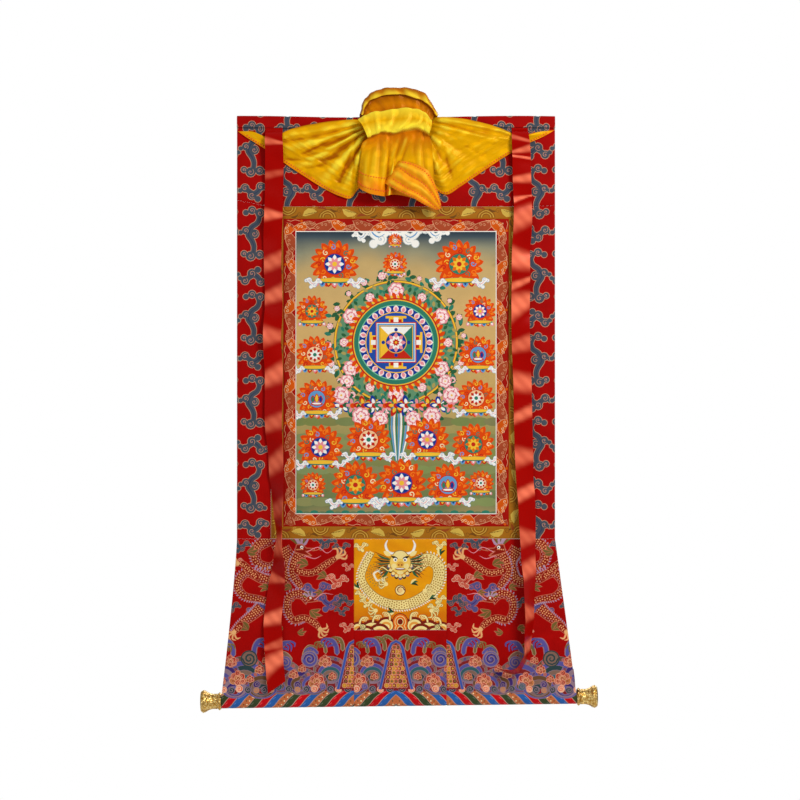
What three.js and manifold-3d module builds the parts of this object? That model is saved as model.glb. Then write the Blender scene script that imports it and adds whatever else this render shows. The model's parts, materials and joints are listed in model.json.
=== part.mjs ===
// A hanging scroll in the thangka manner: a brocade mount with a picture cloth, sewn gold and red
// borders, a square door panel, two satin ribbons, a gathered silk veil and a weighted bottom rod.
// Millimetres. X runs to the right, Z up, and the scroll faces -Y. The origin is the middle of the
// top edge, and Y is 0 at the back of the brocade.

import * as THREE from 'three';
import { mergeVertices } from 'three/addons/utils/BufferGeometryUtils.js';
import Module from 'manifold-3d';

const wasm = await Module();
wasm.setup();

// Picture cloth and the two borders sewn round it
const PICTURE_WIDTH = 426;
const PICTURE_HEIGHT = 600;
const BORDER_WIDTH = 26;
const GOLD_TOP = -190;
const GOLD_OUTER_X = PICTURE_WIDTH / 2 + 2 * BORDER_WIDTH;
const GOLD_BOTTOM = GOLD_TOP - PICTURE_HEIGHT - 4 * BORDER_WIDTH;
const LOWER_SEAM = GOLD_BOTTOM - 0.3;

// Brocade mount: straight sides, then a flare down to the rod, wider on the right
const HALF_WIDTH = 337;
const FLARE_LEFT = 34;
const FLARE_RIGHT = 47;
const FLARE_CURVE = 1.25;
const SIDE_SEAM_RISE_LEFT = 13;
const SIDE_SEAM_RISE_RIGHT = 2;

// Square door panel, let into the middle of the lower mount
const DOOR_WIDTH = 196;
const DOOR_HEIGHT = 193;
const DOOR_CENTRE_X = 9;

// Cloth thicknesses and the gap left between neighbours
const BROCADE = 1.8;
const SATIN = 1.4;
const SILK = 1.4;
const SEAM_GAP = 0.3;

// Heading: a binding folded over the top edge, open downwards
const HEADING_DEPTH = 25;
const HEADING_CLOTH = 1.2;
const HEADING_ROOM = 2.9;
const HEADING_BACK = SEAM_GAP + HEADING_CLOTH;
const HEADING_FRONT = -BROCADE - HEADING_ROOM - HEADING_CLOTH;
const HEADING_BEND = 0.8;
const TOP_STEPS = 24;
const TOP_SIDE_STEPS = 2;

// Bottom rod, its sleeve and its caps
const ROD_RADIUS = 13;
const ROD_CENTRE_Z = -1236;
const ROD_TILT = THREE.MathUtils.degToRad(0.75);
const SLEEVE_RADIUS = ROD_RADIUS + SEAM_GAP;
const SLEEVE_END_ANGLE = THREE.MathUtils.degToRad(35);
const SLEEVE_HEM = 14;
const CAP_LENGTH = 44;
const CAP_SOCKET_DEPTH = 24;
const CAP_INNER_RADIUS = 16.5;
const CAP_WAIST_RADIUS = 15.6;
const CAP_OUTER_RADIUS = 23;

// Creases that the cloth keeps from being rolled, and the soft waves of the flared part
const CREASE_PITCH = 96;
const CREASE_DEPTH = 1.3;
const WAVE_PITCH = 210;
const WAVE_DEPTH = 2.2;

const RIBBON_WIDTH = 39;

const COLOURS = {
  brocade: 0xb01210,
  gold: 0xb8902a,
  red: 0xb04a20,
  picture: 0xb99a5c,
  door: 0xe8a312,
  satin: 0xd42a14,
  silk: 0xf0b51a,
  brass: 0xc9a33c,
  wood: 0x7a4a26,
};

const lerp = THREE.MathUtils.lerp;
const smooth = THREE.MathUtils.smoothstep;

function cloth(colour) {
  return new THREE.MeshStandardMaterial({ color: colour, roughness: 0.7, metalness: 0 });
}

function piece(name, geometry, colour) {
  const mesh = new THREE.Mesh(geometry, cloth(colour));
  mesh.name = name;
  return mesh;
}

// A closed sheet from two matching grids of points, one on each face, joined round the rim. Both
// faces fold along the same diagonals, so that a twisted stretch keeps its thickness.
function closedSheet(front, back) {
  const rows = front.length - 1;
  const columns = front[0].length - 1;
  const positions = [...front.flat(), ...back.flat()].flatMap((p) => [p.x, p.y, p.z]);
  const behind = (rows + 1) * (columns + 1);
  const at = (row, column) => row * (columns + 1) + column;
  const triangles = [];
  const quad = (a, b, c, d) => triangles.push(a, b, c, a, c, d);
  for (let row = 0; row < rows; row += 1) {
    for (let column = 0; column < columns; column += 1) {
      const corners = [at(row, column), at(row + 1, column), at(row + 1, column + 1), at(row, column + 1)];
      quad(...corners);
      const [a, b, c, d] = corners.map((corner) => corner + behind);
      quad(a, d, c, b);
    }
  }
  const rim = [];
  for (let row = 0; row < rows; row += 1) rim.push(at(row, 0));
  for (let column = 0; column < columns; column += 1) rim.push(at(rows, column));
  for (let row = rows; row > 0; row -= 1) rim.push(at(row, columns));
  for (let column = columns; column > 0; column -= 1) rim.push(at(0, column));
  rim.forEach((corner, index) => {
    const next = rim[(index + 1) % rim.length];
    quad(next, corner, corner + behind, next + behind);
  });
  const geometry = new THREE.BufferGeometry();
  geometry.setAttribute('position', new THREE.Float32BufferAttribute(positions, 3));
  geometry.setIndex(triangles);
  return geometry;
}

// Lays cloth of one thickness along a surface that is given as rows of points
function thickened(middle, thickness) {
  const rows = middle.length - 1;
  const columns = middle[0].length - 1;
  const along = new THREE.Vector3();
  const down = new THREE.Vector3();
  const shifted = (amount) => middle.map((line, row) => line.map((point, column) => {
    along.subVectors(line[Math.min(column + 1, columns)], line[Math.max(column - 1, 0)]);
    down.subVectors(middle[Math.min(row + 1, rows)][column], middle[Math.max(row - 1, 0)][column]);
    const normal = new THREE.Vector3().crossVectors(down, along).normalize();
    return point.clone().addScaledVector(normal, amount);
  }));
  return closedSheet(shifted(thickness / 2), shifted(-thickness / 2));
}

function grid(columns, rows, point) {
  return Array.from({ length: rows + 1 }, (_, row) => (
    Array.from({ length: columns + 1 }, (_unused, column) => point(column / columns, row / rows))
  ));
}

// Rows of points through a few guide lines, each line a short list of points
function loft(lines, columns, rows) {
  const curves = lines.map((points) => new THREE.CatmullRomCurve3(points, false, 'centripetal'));
  const threads = Array.from({ length: columns + 1 }, (_, column) => (
    new THREE.CatmullRomCurve3(curves.map((curve) => curve.getPoint(column / columns)), false, 'centripetal')
  ));
  return grid(columns, rows, (u, v) => threads[Math.round(u * columns)].getPoint(v));
}

function toManifold(geometry) {
  const bare = geometry.clone();
  bare.deleteAttribute('normal');
  bare.deleteAttribute('uv');
  const merged = mergeVertices(bare, 1e-4);
  return new wasm.Manifold(new wasm.Mesh({
    numProp: 3,
    vertProperties: new Float32Array(merged.attributes.position.array),
    triVerts: new Uint32Array(merged.index.array),
  }));
}

function fromManifold(solid) {
  const mesh = solid.getMesh();
  const geometry = new THREE.BufferGeometry();
  geometry.setAttribute('position', new THREE.BufferAttribute(new Float32Array(mesh.vertProperties), 3));
  geometry.setIndex(new THREE.BufferAttribute(new Uint32Array(mesh.triVerts), 1));
  return geometry;
}

function joined(geometries) {
  return fromManifold(geometries.map(toManifold).reduce((whole, part) => whole.add(part)));
}

// The mount's outline
const rodCentreZ = (x) => ROD_CENTRE_Z + Math.tan(ROD_TILT) * x;
const flare = (z) => THREE.MathUtils.clamp((LOWER_SEAM - z) / (LOWER_SEAM - ROD_CENTRE_Z), 0, 1);
const leftEdge = (z) => -HALF_WIDTH - FLARE_LEFT * flare(z) ** FLARE_CURVE;
const rightEdge = (z) => HALF_WIDTH + FLARE_RIGHT * flare(z);
const topEdge = (x) => 2.2 * Math.sin(x / 92 - 1.2) * smooth(Math.abs(x), 20, 160);

// The seam under the top panel: level over the gold border, rising to the outer edges
function sideSeam(x) {
  const rise = x < 0 ? SIDE_SEAM_RISE_LEFT : SIDE_SEAM_RISE_RIGHT;
  const outward = Math.max(0, Math.abs(x) - GOLD_OUTER_X) / (HALF_WIDTH - GOLD_OUTER_X);
  return GOLD_TOP + SEAM_GAP + rise * outward;
}

// Columns across the whole width, with one over each upper corner of the gold border
function acrossTop(u) {
  const step = u * TOP_STEPS;
  const sideWidth = HALF_WIDTH - GOLD_OUTER_X;
  if (step <= TOP_SIDE_STEPS) return -HALF_WIDTH + (sideWidth * step) / TOP_SIDE_STEPS;
  if (step >= TOP_STEPS - TOP_SIDE_STEPS) return HALF_WIDTH - (sideWidth * (TOP_STEPS - step)) / TOP_SIDE_STEPS;
  return lerp(-GOLD_OUTER_X, GOLD_OUTER_X, (step - TOP_SIDE_STEPS) / (TOP_STEPS - 2 * TOP_SIDE_STEPS));
}

// How far the hung cloth stands forward of a flat sheet
function hang(x, z) {
  const free = smooth(-z, 60, 260) * (1 - smooth(-z, 1090, 1195));
  const inPicture = 1 - 0.7 * smooth(-z, 180, 300) * (1 - smooth(-z, 780, 900));
  const crease = CREASE_DEPTH * (0.5 - 0.5 * Math.cos((2 * Math.PI * z) / CREASE_PITCH + x / 190));
  const wave = WAVE_DEPTH * (0.5 - 0.5 * Math.cos((2 * Math.PI * (x - 12)) / WAVE_PITCH)) * smooth(-z, 820, 960);
  return free * inPicture * (crease + wave);
}

// A panel of the mount between four edges, each a function of the other coordinate
function panel({ left, right, top, bottom, columns, rows, spread = (u) => u }) {
  const place = (share, v) => {
    const u = spread(share);
    const firstX = lerp(left(GOLD_TOP), right(GOLD_TOP), u);
    const firstZ = lerp(top(firstX), bottom(firstX), v);
    const x = lerp(left(firstZ), right(firstZ), u);
    const z = lerp(top(x), bottom(x), v);
    return { x, z };
  };
  const face = (inset) => grid(columns, rows, (u, v) => {
    const { x, z } = place(u, v);
    return new THREE.Vector3(x, -inset - hang(x, z), z);
  });
  return closedSheet(face(BROCADE), face(0));
}

function heading() {
  const face = (offset) => {
    const front = HEADING_FRONT + HEADING_CLOTH - offset;
    const back = HEADING_BACK - HEADING_CLOTH + offset;
    const section = [
      [front, -HEADING_DEPTH],
      [front, -HEADING_CLOTH - HEADING_BEND + offset],
      [front + HEADING_BEND, -HEADING_CLOTH + offset],
      [back - HEADING_BEND, -HEADING_CLOTH + offset],
      [back, -HEADING_CLOTH - HEADING_BEND + offset],
      [back, -HEADING_DEPTH],
    ];
    return Array.from({ length: TOP_STEPS + 1 }, (_, index) => {
      const x = acrossTop(index / TOP_STEPS);
      return section.map(([y, z]) => new THREE.Vector3(x, y, z + topEdge(x)));
    });
  };
  return closedSheet(face(HEADING_CLOTH), face(0));
}

function topPanel() {
  return panel({
    left: () => -HALF_WIDTH,
    right: () => HALF_WIDTH,
    top: (x) => topEdge(x) - HEADING_CLOTH - HEADING_BEND - SEAM_GAP,
    bottom: sideSeam,
    columns: TOP_STEPS,
    rows: 5,
    spread: (u) => (acrossTop(u) + HALF_WIDTH) / (2 * HALF_WIDTH),
  });
}

function sidePanel(side) {
  const inner = side * (GOLD_OUTER_X + SEAM_GAP);
  const outer = side * HALF_WIDTH;
  return panel({
    left: () => Math.min(inner, outer),
    right: () => Math.max(inner, outer),
    top: (x) => sideSeam(x) - SEAM_GAP,
    bottom: () => GOLD_BOTTOM,
    columns: 2,
    rows: 24,
  });
}

// One strip of a mitred border: its outer edge, and its inner edge one border width further in
function borderStrip(side, outerHalfWidth, outerTop, outerHeight) {
  const miter = 0.25;
  const inset = SEAM_GAP / 2;
  const outerBottom = outerTop - outerHeight;
  const innerHalfWidth = outerHalfWidth - BORDER_WIDTH;
  const level = (from, to, outerX, innerX) => grid(16, 1, (u, v) => ({
    x: lerp(-1, 1, u) * lerp(outerX, innerX, v),
    z: lerp(from, to, v),
  }));
  const upright = (from, to, outerEnd, innerEnd) => grid(1, 24, (u, v) => ({
    x: lerp(from, to, u),
    z: lerp(
      side === 'left' ? lerp(outerTop - outerEnd, outerTop - innerEnd, u) : lerp(outerTop - innerEnd, outerTop - outerEnd, u),
      side === 'left'
        ? lerp(outerBottom + outerEnd, outerBottom + innerEnd, u)
        : lerp(outerBottom + innerEnd, outerBottom + outerEnd, u),
      v,
    ),
  }));
  const strips = {
    top: () => level(outerTop - inset, outerTop - BORDER_WIDTH + inset, outerHalfWidth - miter - inset, innerHalfWidth - miter + inset),
    bottom: () => level(outerBottom + BORDER_WIDTH - inset, outerBottom + inset, innerHalfWidth - miter + inset, outerHalfWidth - miter - inset),
    left: () => upright(-outerHalfWidth + inset, -innerHalfWidth - inset, miter + inset, BORDER_WIDTH + miter - inset),
    right: () => upright(innerHalfWidth + inset, outerHalfWidth - inset, miter + inset, BORDER_WIDTH + miter - inset),
  };
  const places = strips[side]();
  const face = (inward) => places.map((row) => row.map(({ x, z }) => new THREE.Vector3(x, -inward - hang(x, z), z)));
  return closedSheet(face(BROCADE), face(0));
}

function picture() {
  const outerInset = 2 * BORDER_WIDTH + SEAM_GAP / 2;
  return panel({
    left: () => -PICTURE_WIDTH / 2 + SEAM_GAP / 2,
    right: () => PICTURE_WIDTH / 2 - SEAM_GAP / 2,
    top: () => GOLD_TOP - outerInset,
    bottom: () => GOLD_BOTTOM + outerInset,
    columns: 6,
    rows: 24,
  });
}

function door() {
  return panel({
    left: () => DOOR_CENTRE_X - DOOR_WIDTH / 2 + SEAM_GAP / 2,
    right: () => DOOR_CENTRE_X + DOOR_WIDTH / 2 - SEAM_GAP / 2,
    top: () => LOWER_SEAM,
    bottom: () => LOWER_SEAM - DOOR_HEIGHT + SEAM_GAP,
    columns: 5,
    rows: 8,
  });
}

// A lower panel: down the front, round the rod and back up to its own back face
function lowerPanel({ left, right, top, columns, rows }) {
  const turn = Math.PI + SLEEVE_END_ANGLE;
  const radius = SLEEVE_RADIUS + BROCADE / 2;
  const arcRows = 10;
  const liftRows = 2;
  const backOfCloth = SEAM_GAP + BROCADE / 2;
  const liftEnd = SLEEVE_RADIUS + radius * Math.cos(SLEEVE_END_ANGLE);
  const lift = (liftEnd - backOfCloth) / Math.sin(SLEEVE_END_ANGLE);
  const middle = [];
  const addRow = (y, z) => {
    middle.push(Array.from({ length: columns + 1 }, (_, column) => {
      const u = column / columns;
      const roughX = lerp(left(top), right(top), u);
      const height = z(roughX);
      const x = lerp(left(height), right(height), u);
      return new THREE.Vector3(x, y - hang(x, height), z(x));
    }));
  };
  for (let row = 0; row <= rows; row += 1) {
    addRow(-BROCADE / 2, (x) => lerp(top, rodCentreZ(x), row / rows));
  }
  for (let row = 1; row <= arcRows; row += 1) {
    const angle = Math.PI + (turn * row) / arcRows;
    addRow(SLEEVE_RADIUS + radius * Math.cos(angle), (x) => rodCentreZ(x) + radius * Math.sin(angle));
  }
  const arcTop = radius * Math.sin(SLEEVE_END_ANGLE);
  for (let row = 1; row <= liftRows; row += 1) {
    const run = (lift * row) / liftRows;
    addRow(liftEnd - run * Math.sin(SLEEVE_END_ANGLE), (x) => rodCentreZ(x) + arcTop + run * Math.cos(SLEEVE_END_ANGLE));
  }
  addRow(backOfCloth, (x) => rodCentreZ(x) + arcTop + lift * Math.cos(SLEEVE_END_ANGLE) + SLEEVE_HEM);
  return thickened(middle, BROCADE);
}

function lowerPanels() {
  const doorLeft = DOOR_CENTRE_X - DOOR_WIDTH / 2;
  const doorRight = DOOR_CENTRE_X + DOOR_WIDTH / 2;
  const inset = SEAM_GAP / 2;
  return [
    ['lower_panel_left', { left: leftEdge, right: () => doorLeft - inset, top: LOWER_SEAM, columns: 7, rows: 13 }],
    ['lower_panel_centre', {
      left: () => doorLeft + inset,
      right: () => doorRight - inset,
      top: LOWER_SEAM - DOOR_HEIGHT,
      columns: 5,
      rows: 6,
    }],
    ['lower_panel_right', { left: () => doorRight + inset, right: rightEdge, top: LOWER_SEAM, columns: 7, rows: 13 }],
  ].map(([name, sizes]) => piece(name, lowerPanel(sizes), COLOURS.brocade));
}

// A satin ribbon, hung by its top under the heading. Each row: height, middle, how far its nearer
// edge stands forward, how far its face is turned from the front, and the share of the full width
// that lies open
const LEFT_RIBBON = [
  { z: -17, x: -258, forward: 3.6, turn: 0, share: 0.92 },
  { z: -27, x: -258, forward: 3.9, turn: 0, share: 0.92 },
  { z: -38, x: -258, forward: 13.5, turn: 0, share: 0.94 },
  { z: -50, x: -258, forward: 19, turn: 1, share: 0.96 },
  { z: -70, x: -257, forward: 19, turn: 2, share: 0.98 },
  { z: -105, x: -257, forward: 13, turn: -3, share: 1 },
  { z: -165, x: -258, forward: 9, turn: 3, share: 1 },
  { z: -215, x: -259, forward: 14, turn: -6, share: 1 },
  { z: -262, x: -261, forward: 8, turn: 4, share: 1 },
  { z: -330, x: -260, forward: 9, turn: 18, share: 1 },
  { z: -400, x: -258, forward: 9, turn: 12, share: 1 },
  { z: -470, x: -262, forward: 10, turn: -16, share: 1 },
  { z: -545, x: -258, forward: 9, turn: 8, share: 1 },
  { z: -640, x: -259, forward: 9, turn: 20, share: 1 },
  { z: -730, x: -253, forward: 7, turn: 34, share: 1 },
  { z: -820, x: -249, forward: 7, turn: 52, share: 1 },
  { z: -890, x: -246, forward: 8, turn: 71, share: 1 },
  { z: -950, x: -247, forward: 8, turn: 46, share: 1 },
  { z: -1005, x: -253, forward: 9, turn: 22, share: 1 },
  { z: -1060, x: -260, forward: 9, turn: 14, share: 1 },
  { z: -1115, x: -259, forward: 11, turn: -8, share: 1 },
  { z: -1165, x: -256, forward: 9, turn: 6, share: 1 },
  { z: -1207, x: -252, forward: 11, turn: -6, share: 1 },
];
const RIGHT_RIBBON = [
  { z: -17, x: 262, forward: 3.6, turn: 0, share: 0.84 },
  { z: -27, x: 262, forward: 3.9, turn: 0, share: 0.86 },
  { z: -35, x: 262, forward: 15, turn: 0, share: 0.9 },
  { z: -52, x: 263, forward: 21, turn: 2, share: 0.96 },
  { z: -84, x: 265, forward: 14, turn: -4, share: 1 },
  { z: -130, x: 266, forward: 15, turn: 4, share: 1 },
  { z: -185, x: 268, forward: 8, turn: -10, share: 1 },
  { z: -230, x: 268, forward: 13, turn: 8, share: 1 },
  { z: -290, x: 264, forward: 8, turn: -10, share: 1 },
  { z: -350, x: 264, forward: 13, turn: 12, share: 1 },
  { z: -415, x: 263, forward: 9, turn: -8, share: 1 },
  { z: -480, x: 264, forward: 13, turn: 10, share: 1 },
  { z: -560, x: 267, forward: 9, turn: -8, share: 1 },
  { z: -660, x: 269, forward: 13, turn: 6, share: 1 },
  { z: -760, x: 272, forward: 8, turn: -14, share: 1 },
  { z: -840, x: 277, forward: 9, turn: -20, share: 1 },
  { z: -910, x: 278, forward: 8, turn: -32, share: 1 },
  { z: -980, x: 281, forward: 8, turn: -46, share: 1 },
  { z: -1050, x: 281, forward: 8, turn: -60, share: 1 },
  { z: -1105, x: 277, forward: 8, turn: -76, share: 1 },
  { z: -1145, x: 270, forward: 7, turn: -84, share: 0.95 },
  { z: -1171, x: 254, forward: 7, turn: -78, share: 0.9 },
  { z: -1173, x: 233, forward: 7, turn: -70, share: 0.72 },
  { z: -1166, x: 213, forward: 7, turn: -62, share: 0.3 },
];

function ribbon(table, { steps, slant }) {
  const turned = ({ turn, share }) => (RIBBON_WIDTH * share * Math.abs(Math.sin(THREE.MathUtils.degToRad(turn)))) / 2;
  const path = new THREE.CatmullRomCurve3(
    table.map((row) => new THREE.Vector3(row.x, -row.forward - turned(row), row.z)),
    false,
    'centripetal',
  );
  const readings = new THREE.CatmullRomCurve3(
    table.map(({ turn, share }) => new THREE.Vector3(THREE.MathUtils.degToRad(turn), share, 0)),
    false,
    'catmullrom',
  );
  const middle = Array.from({ length: steps + 1 }, (_, row) => {
    const t = row / steps;
    const point = path.getPoint(t);
    const tangent = path.getTangent(t);
    const { x: turn, y: share } = readings.getPoint(t);
    const facing = new THREE.Vector3(Math.cos(turn), -Math.sin(turn), 0);
    const across = facing.addScaledVector(tangent, -facing.dot(tangent)).normalize();
    const half = (RIBBON_WIDTH * share) / 2;
    const cut = slant * smooth(t, 0.93, 1);
    return [-1, 0, 1].map((side) => point.clone()
      .addScaledVector(across, side * half)
      .addScaledVector(tangent, -side * cut));
  });
  return thickened(middle, SATIN);
}

// The veil is one cloth. Each wing is a fan of folds: where a fold leaves the gather, where it ends
// at the hem, how far the cloth stands forward along it, how far it sags, how far it is lifted near
// the gather and dropped near the hem, and how deep the ribbon presses into it.
const LEFT_WING_FOLDS = [
  { fromX: -78, fromZ: -7, toX: -335, toZ: -31, forward: 3, sag: 2, lift: 4, press: 13 },
  { fromX: -78, fromZ: -12, toX: -318, toZ: -43, forward: 10, sag: 8, lift: 0, press: 9 },
  { fromX: -77, fromZ: -16, toX: -300, toZ: -54, forward: 6, sag: 8, lift: 0, press: 4 },
  { fromX: -76, fromZ: -20, toX: -268, toZ: -75, forward: 13, sag: 6, lift: 0, press: 0 },
  { fromX: -75, fromZ: -24, toX: -238, toZ: -97, forward: 4, sag: 2, lift: 0, press: 0 },
  { fromX: -74, fromZ: -28, toX: -215, toZ: -113, forward: 15, sag: -2, lift: 0, press: 0 },
  { fromX: -73, fromZ: -32, toX: -190, toZ: -129, forward: 5, sag: -4, lift: 0, press: 0 },
  { fromX: -72, fromZ: -36, toX: -162, toZ: -147, forward: 16, sag: -3, lift: 0, press: 0 },
  { fromX: -71, fromZ: -40, toX: -136, toZ: -161, forward: 5, sag: -3, lift: 0, press: 0 },
  { fromX: -70, fromZ: -43, toX: -117, toZ: -169, forward: 18, sag: -2, lift: 0, press: 0 },
  { fromX: -69, fromZ: -46, toX: -97, toZ: -173, forward: 10, sag: 0, lift: 0, press: 0 },
  { fromX: -67, fromZ: -48, toX: -82, toZ: -156, forward: 5, sag: 0, lift: 0, press: 0 },
  { fromX: -64, fromZ: -50, toX: -62, toZ: -136, forward: 3, sag: 0, lift: 0, press: 0 },
];
const RIGHT_WING_FOLDS = [
  { fromX: 84, fromZ: -3, toX: 335, toZ: -29, forward: 3, sag: 3, lift: 7, press: 9 },
  { fromX: 84, fromZ: -8, toX: 322, toZ: -37, forward: 10, sag: 4, lift: 3, press: 6 },
  { fromX: 84, fromZ: -12, toX: 306, toZ: -45, forward: 5, sag: 6, lift: 1, press: 2 },
  { fromX: 84, fromZ: -16, toX: 284, toZ: -55, forward: 12, sag: 6, lift: 0, press: 0 },
  { fromX: 83, fromZ: -21, toX: 256, toZ: -70, forward: 11, sag: 4, lift: 0, press: 0 },
  { fromX: 82, fromZ: -26, toX: 226, toZ: -88, forward: 12, sag: 2, lift: 0, press: 0 },
  { fromX: 81, fromZ: -31, toX: 196, toZ: -108, forward: 9, sag: 0, lift: 0, press: 0 },
  { fromX: 80, fromZ: -36, toX: 166, toZ: -128, forward: 13, sag: 0, lift: 0, press: 0 },
  { fromX: 78, fromZ: -41, toX: 135, toZ: -149, forward: 8, sag: 0, lift: 0, press: 0 },
  { fromX: 75, fromZ: -46, toX: 108, toZ: -165, forward: 15, sag: 0, lift: 0, press: 0 },
  { fromX: 71, fromZ: -50, toX: 89, toZ: -158, forward: 7, sag: 0, lift: 0, press: 0 },
  { fromX: 65, fromZ: -52, toX: 66, toZ: -124, forward: 3, sag: 0, lift: 0, press: 0 },
];

const WING_ROOT = 8;
const WING_AT_GATHER = 15;
const WING_AT_HEM = 4;
const WING_TUCK = 14;
const PRESS_X = 260;
const PRESS_HALF_WIDTH = 25;

function wing(folds) {
  const stations = [0, 0.12, 0.3, 0.5, 0.62, 0.7, 0.78, 0.88, 1];
  const lines = folds.map(({ fromX, fromZ, toX, toZ, forward, sag, lift, press }) => stations.map((s) => {
    const bulge = forward * (s < 1 ? Math.sin(Math.PI * s ** 0.6) ** 0.8 : 0.12);
    const y = s > 0 ? -lerp(WING_AT_GATHER, WING_AT_HEM, s ** 0.7) - bulge : -WING_ROOT;
    const rootX = fromX - Math.sign(fromX) * WING_TUCK;
    const x = lerp(rootX, toX, s);
    const pressed = press / (1 + ((Math.abs(x) - PRESS_X) / PRESS_HALF_WIDTH) ** 6);
    const z = lerp(fromZ, toZ, s) - sag * 4 * s * (1 - s) + lift * Math.sin(2 * Math.PI * s) - pressed;
    return new THREE.Vector3(x, y, z);
  }));
  return thickened(loft(lines, 13, 2 * (folds.length - 1)), SILK);
}

// The bunch in the middle: one cloth that goes up behind, rolls over into a crown, tucks in, dips,
// comes over a rim and falls to its hem. Each line runs from left to right, in x and z, and the
// lines follow each other down the cloth.
const BUNCH_LINES = [
  { role: 'root behind the falls', forward: 10, points: [[-64, -116], [-30, -122], [10, -124], [45, -122], [70, -112]] },
  { role: 'up behind the rim', forward: 11, points: [[-76, -20], [-45, -18], [0, -16], [45, -16], [82, -18]] },
  { role: 'foot of the crown', forward: 12, points: [[-77, 2], [-45, 24], [5, 28], [55, 22], [88, 0]] },
  { role: 'outside of the crown', forward: 15, points: [[-76, 3], [-65, 35], [-34, 53], [12, 57], [60, 45], [89, 2]] },
  { role: 'top of the crown', forward: 21, points: [[-75, 3], [-64, 37], [-34, 55], [12, 58.5], [60, 47], [89, 2]] },
  { role: 'front edge of the crown', forward: 29, points: [[-71, 0], [-64, 22], [-44, 36], [-2, 44], [36, 38], [68, 23], [87, -2]] },
  { role: 'tucked behind that edge', forward: 23, points: [[-68, 2], [-60, 22], [-42, 37], [-2, 45], [34, 39], [64, 24], [82, 0]] },
  { role: 'inside of the crown', forward: 24, points: [[-66, -4], [-54, 12], [-28, 22], [2, 27], [36, 22], [60, 8], [76, -10]] },
  { role: 'floor of the dip', forward: 32, points: [[-68, -10], [-46, 0], [-22, 3], [4, 5], [36, 4], [57, -3], [72, -16]] },
  { role: 'back of the rim', forward: 41, points: [[-73, -8], [-52, 0], [-26, 5], [6, 9], [38, 8], [57, 2], [72, -14]] },
  { role: 'rim', forward: 46, points: [[-79, -12], [-55, 1], [-26, 6], [7, 11], [38, 11], [58, 4], [75, -14]] },
  { role: 'belly of the band', forward: 52, points: [[-71, -24], [-50, -18], [-26, -14], [6, -12], [38, -11], [58, -15], [75, -27]] },
  { role: 'lip', forward: 53, points: [[-60, -49], [-45, -43], [-26, -36], [-7, -39], [20, -32], [50, -29], [70, -41]] },
  { role: 'under the lip', forward: 42, points: [[-60, -51], [-45, -46], [-26, -40], [-7, -43], [20, -38], [50, -36], [70, -47]] },
  { role: 'head of the falls', forward: 40, points: [[-71, -62], [-46, -58], [-25, -56], [-6, -58], [20, -56], [48, -56], [75, -60]] },
];
// The falls under the lip, from left to right: where each fold hangs, how far forward, and its hem
const FALLS = [
  { topX: -71, hemX: -82, forward: 25, hemZ: -146 },
  { topX: -65, hemX: -74, forward: 38, hemZ: -157 },
  { topX: -49, hemX: -55, forward: 47, hemZ: -167 },
  { topX: -28, hemX: -36, forward: 45, hemZ: -171 },
  { topX: -16, hemX: -27, forward: 41, hemZ: -172 },
  { topX: -12, hemX: -22, forward: 31, hemZ: -171 },
  { topX: 0, hemX: -14, forward: 45, hemZ: -170 },
  { topX: 7, hemX: -7, forward: 34, hemZ: -168 },
  { topX: 22, hemX: 12, forward: 38, hemZ: -170 },
  { topX: 44, hemX: 40, forward: 43, hemZ: -178 },
  { topX: 62, hemX: 66, forward: 41, hemZ: -186 },
  { topX: 75, hemX: 84, forward: 30, hemZ: -188 },
];
const FALLS_TOP = -57;

function bunch() {
  const head = BUNCH_LINES.map(({ forward, points }) => (
    points.map(([x, z]) => new THREE.Vector3(x, -forward, z))
  ));
  const fallsAt = (share) => FALLS.map(({ topX, hemX, forward, hemZ }) => {
    const spread = Math.sin((Math.PI / 2) * share);
    const y = -lerp(39, forward, spread) + 3 * share;
    return new THREE.Vector3(lerp(topX, hemX, share), y, lerp(FALLS_TOP, hemZ, share));
  });
  const lines = [...head, fallsAt(0.3), fallsAt(0.62), fallsAt(0.84), fallsAt(1)];
  return thickened(loft(lines, 22, 2 * (lines.length - 1)), SILK);
}

// The turned-up corner of the hem, a fan of pleats that closes at its lowest point. Each line runs
// in x, z and distance forward, and both its ends are tucked into the falls.
const TURNED_HEM = [
  { role: 'upper edge', points: [[4, -98, 34], [12, -99, 47], [38, -104, 50], [67, -120, 49], [84, -152, 42], [94, -194, 34], [81, -184, 21]] },
  { role: 'first pleat', points: [[0, -108, 34], [8, -107, 51], [34, -117, 55], [60, -136, 53], [80, -164, 46], [94, -196, 35], [81, -185, 21]] },
  { role: 'between pleats', points: [[-3, -113, 34], [6, -114, 47], [31, -131, 49], [56, -146, 48], [79, -172, 43], [94, -197, 34], [80, -185, 21]] },
  { role: 'second pleat', points: [[-9, -120, 34], [-1, -124, 49], [24, -143, 53], [52, -158, 52], [77, -180, 45], [92, -198, 34], [79, -185, 21]] },
  { role: 'between the lower pleats', points: [[-15, -128, 34], [-8, -134, 46], [18, -152, 48], [46, -167, 47], [74, -187, 41], [90, -199, 33], [78, -185, 21]] },
  { role: 'third pleat', points: [[-20, -136, 34], [-13, -142, 48], [13, -158, 51], [42, -172, 49], [70, -190, 42], [88, -199, 33], [77, -185, 21]] },
  { role: 'lower edge', points: [[-24, -144, 34], [-18, -149, 44], [8, -164, 46], [37, -177, 45], [66, -193, 40], [86, -200, 32], [76, -185, 20]] },
];

function turnedHem() {
  const lines = TURNED_HEM.map(({ points }) => points.map(([x, z, forward]) => new THREE.Vector3(x, -forward, z)));
  return thickened(loft(lines, 12, 12), SILK);
}

function veil() {
  return joined([wing(LEFT_WING_FOLDS), bunch(), wing(RIGHT_WING_FOLDS.slice().reverse()), turnedHem()]);
}

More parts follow.
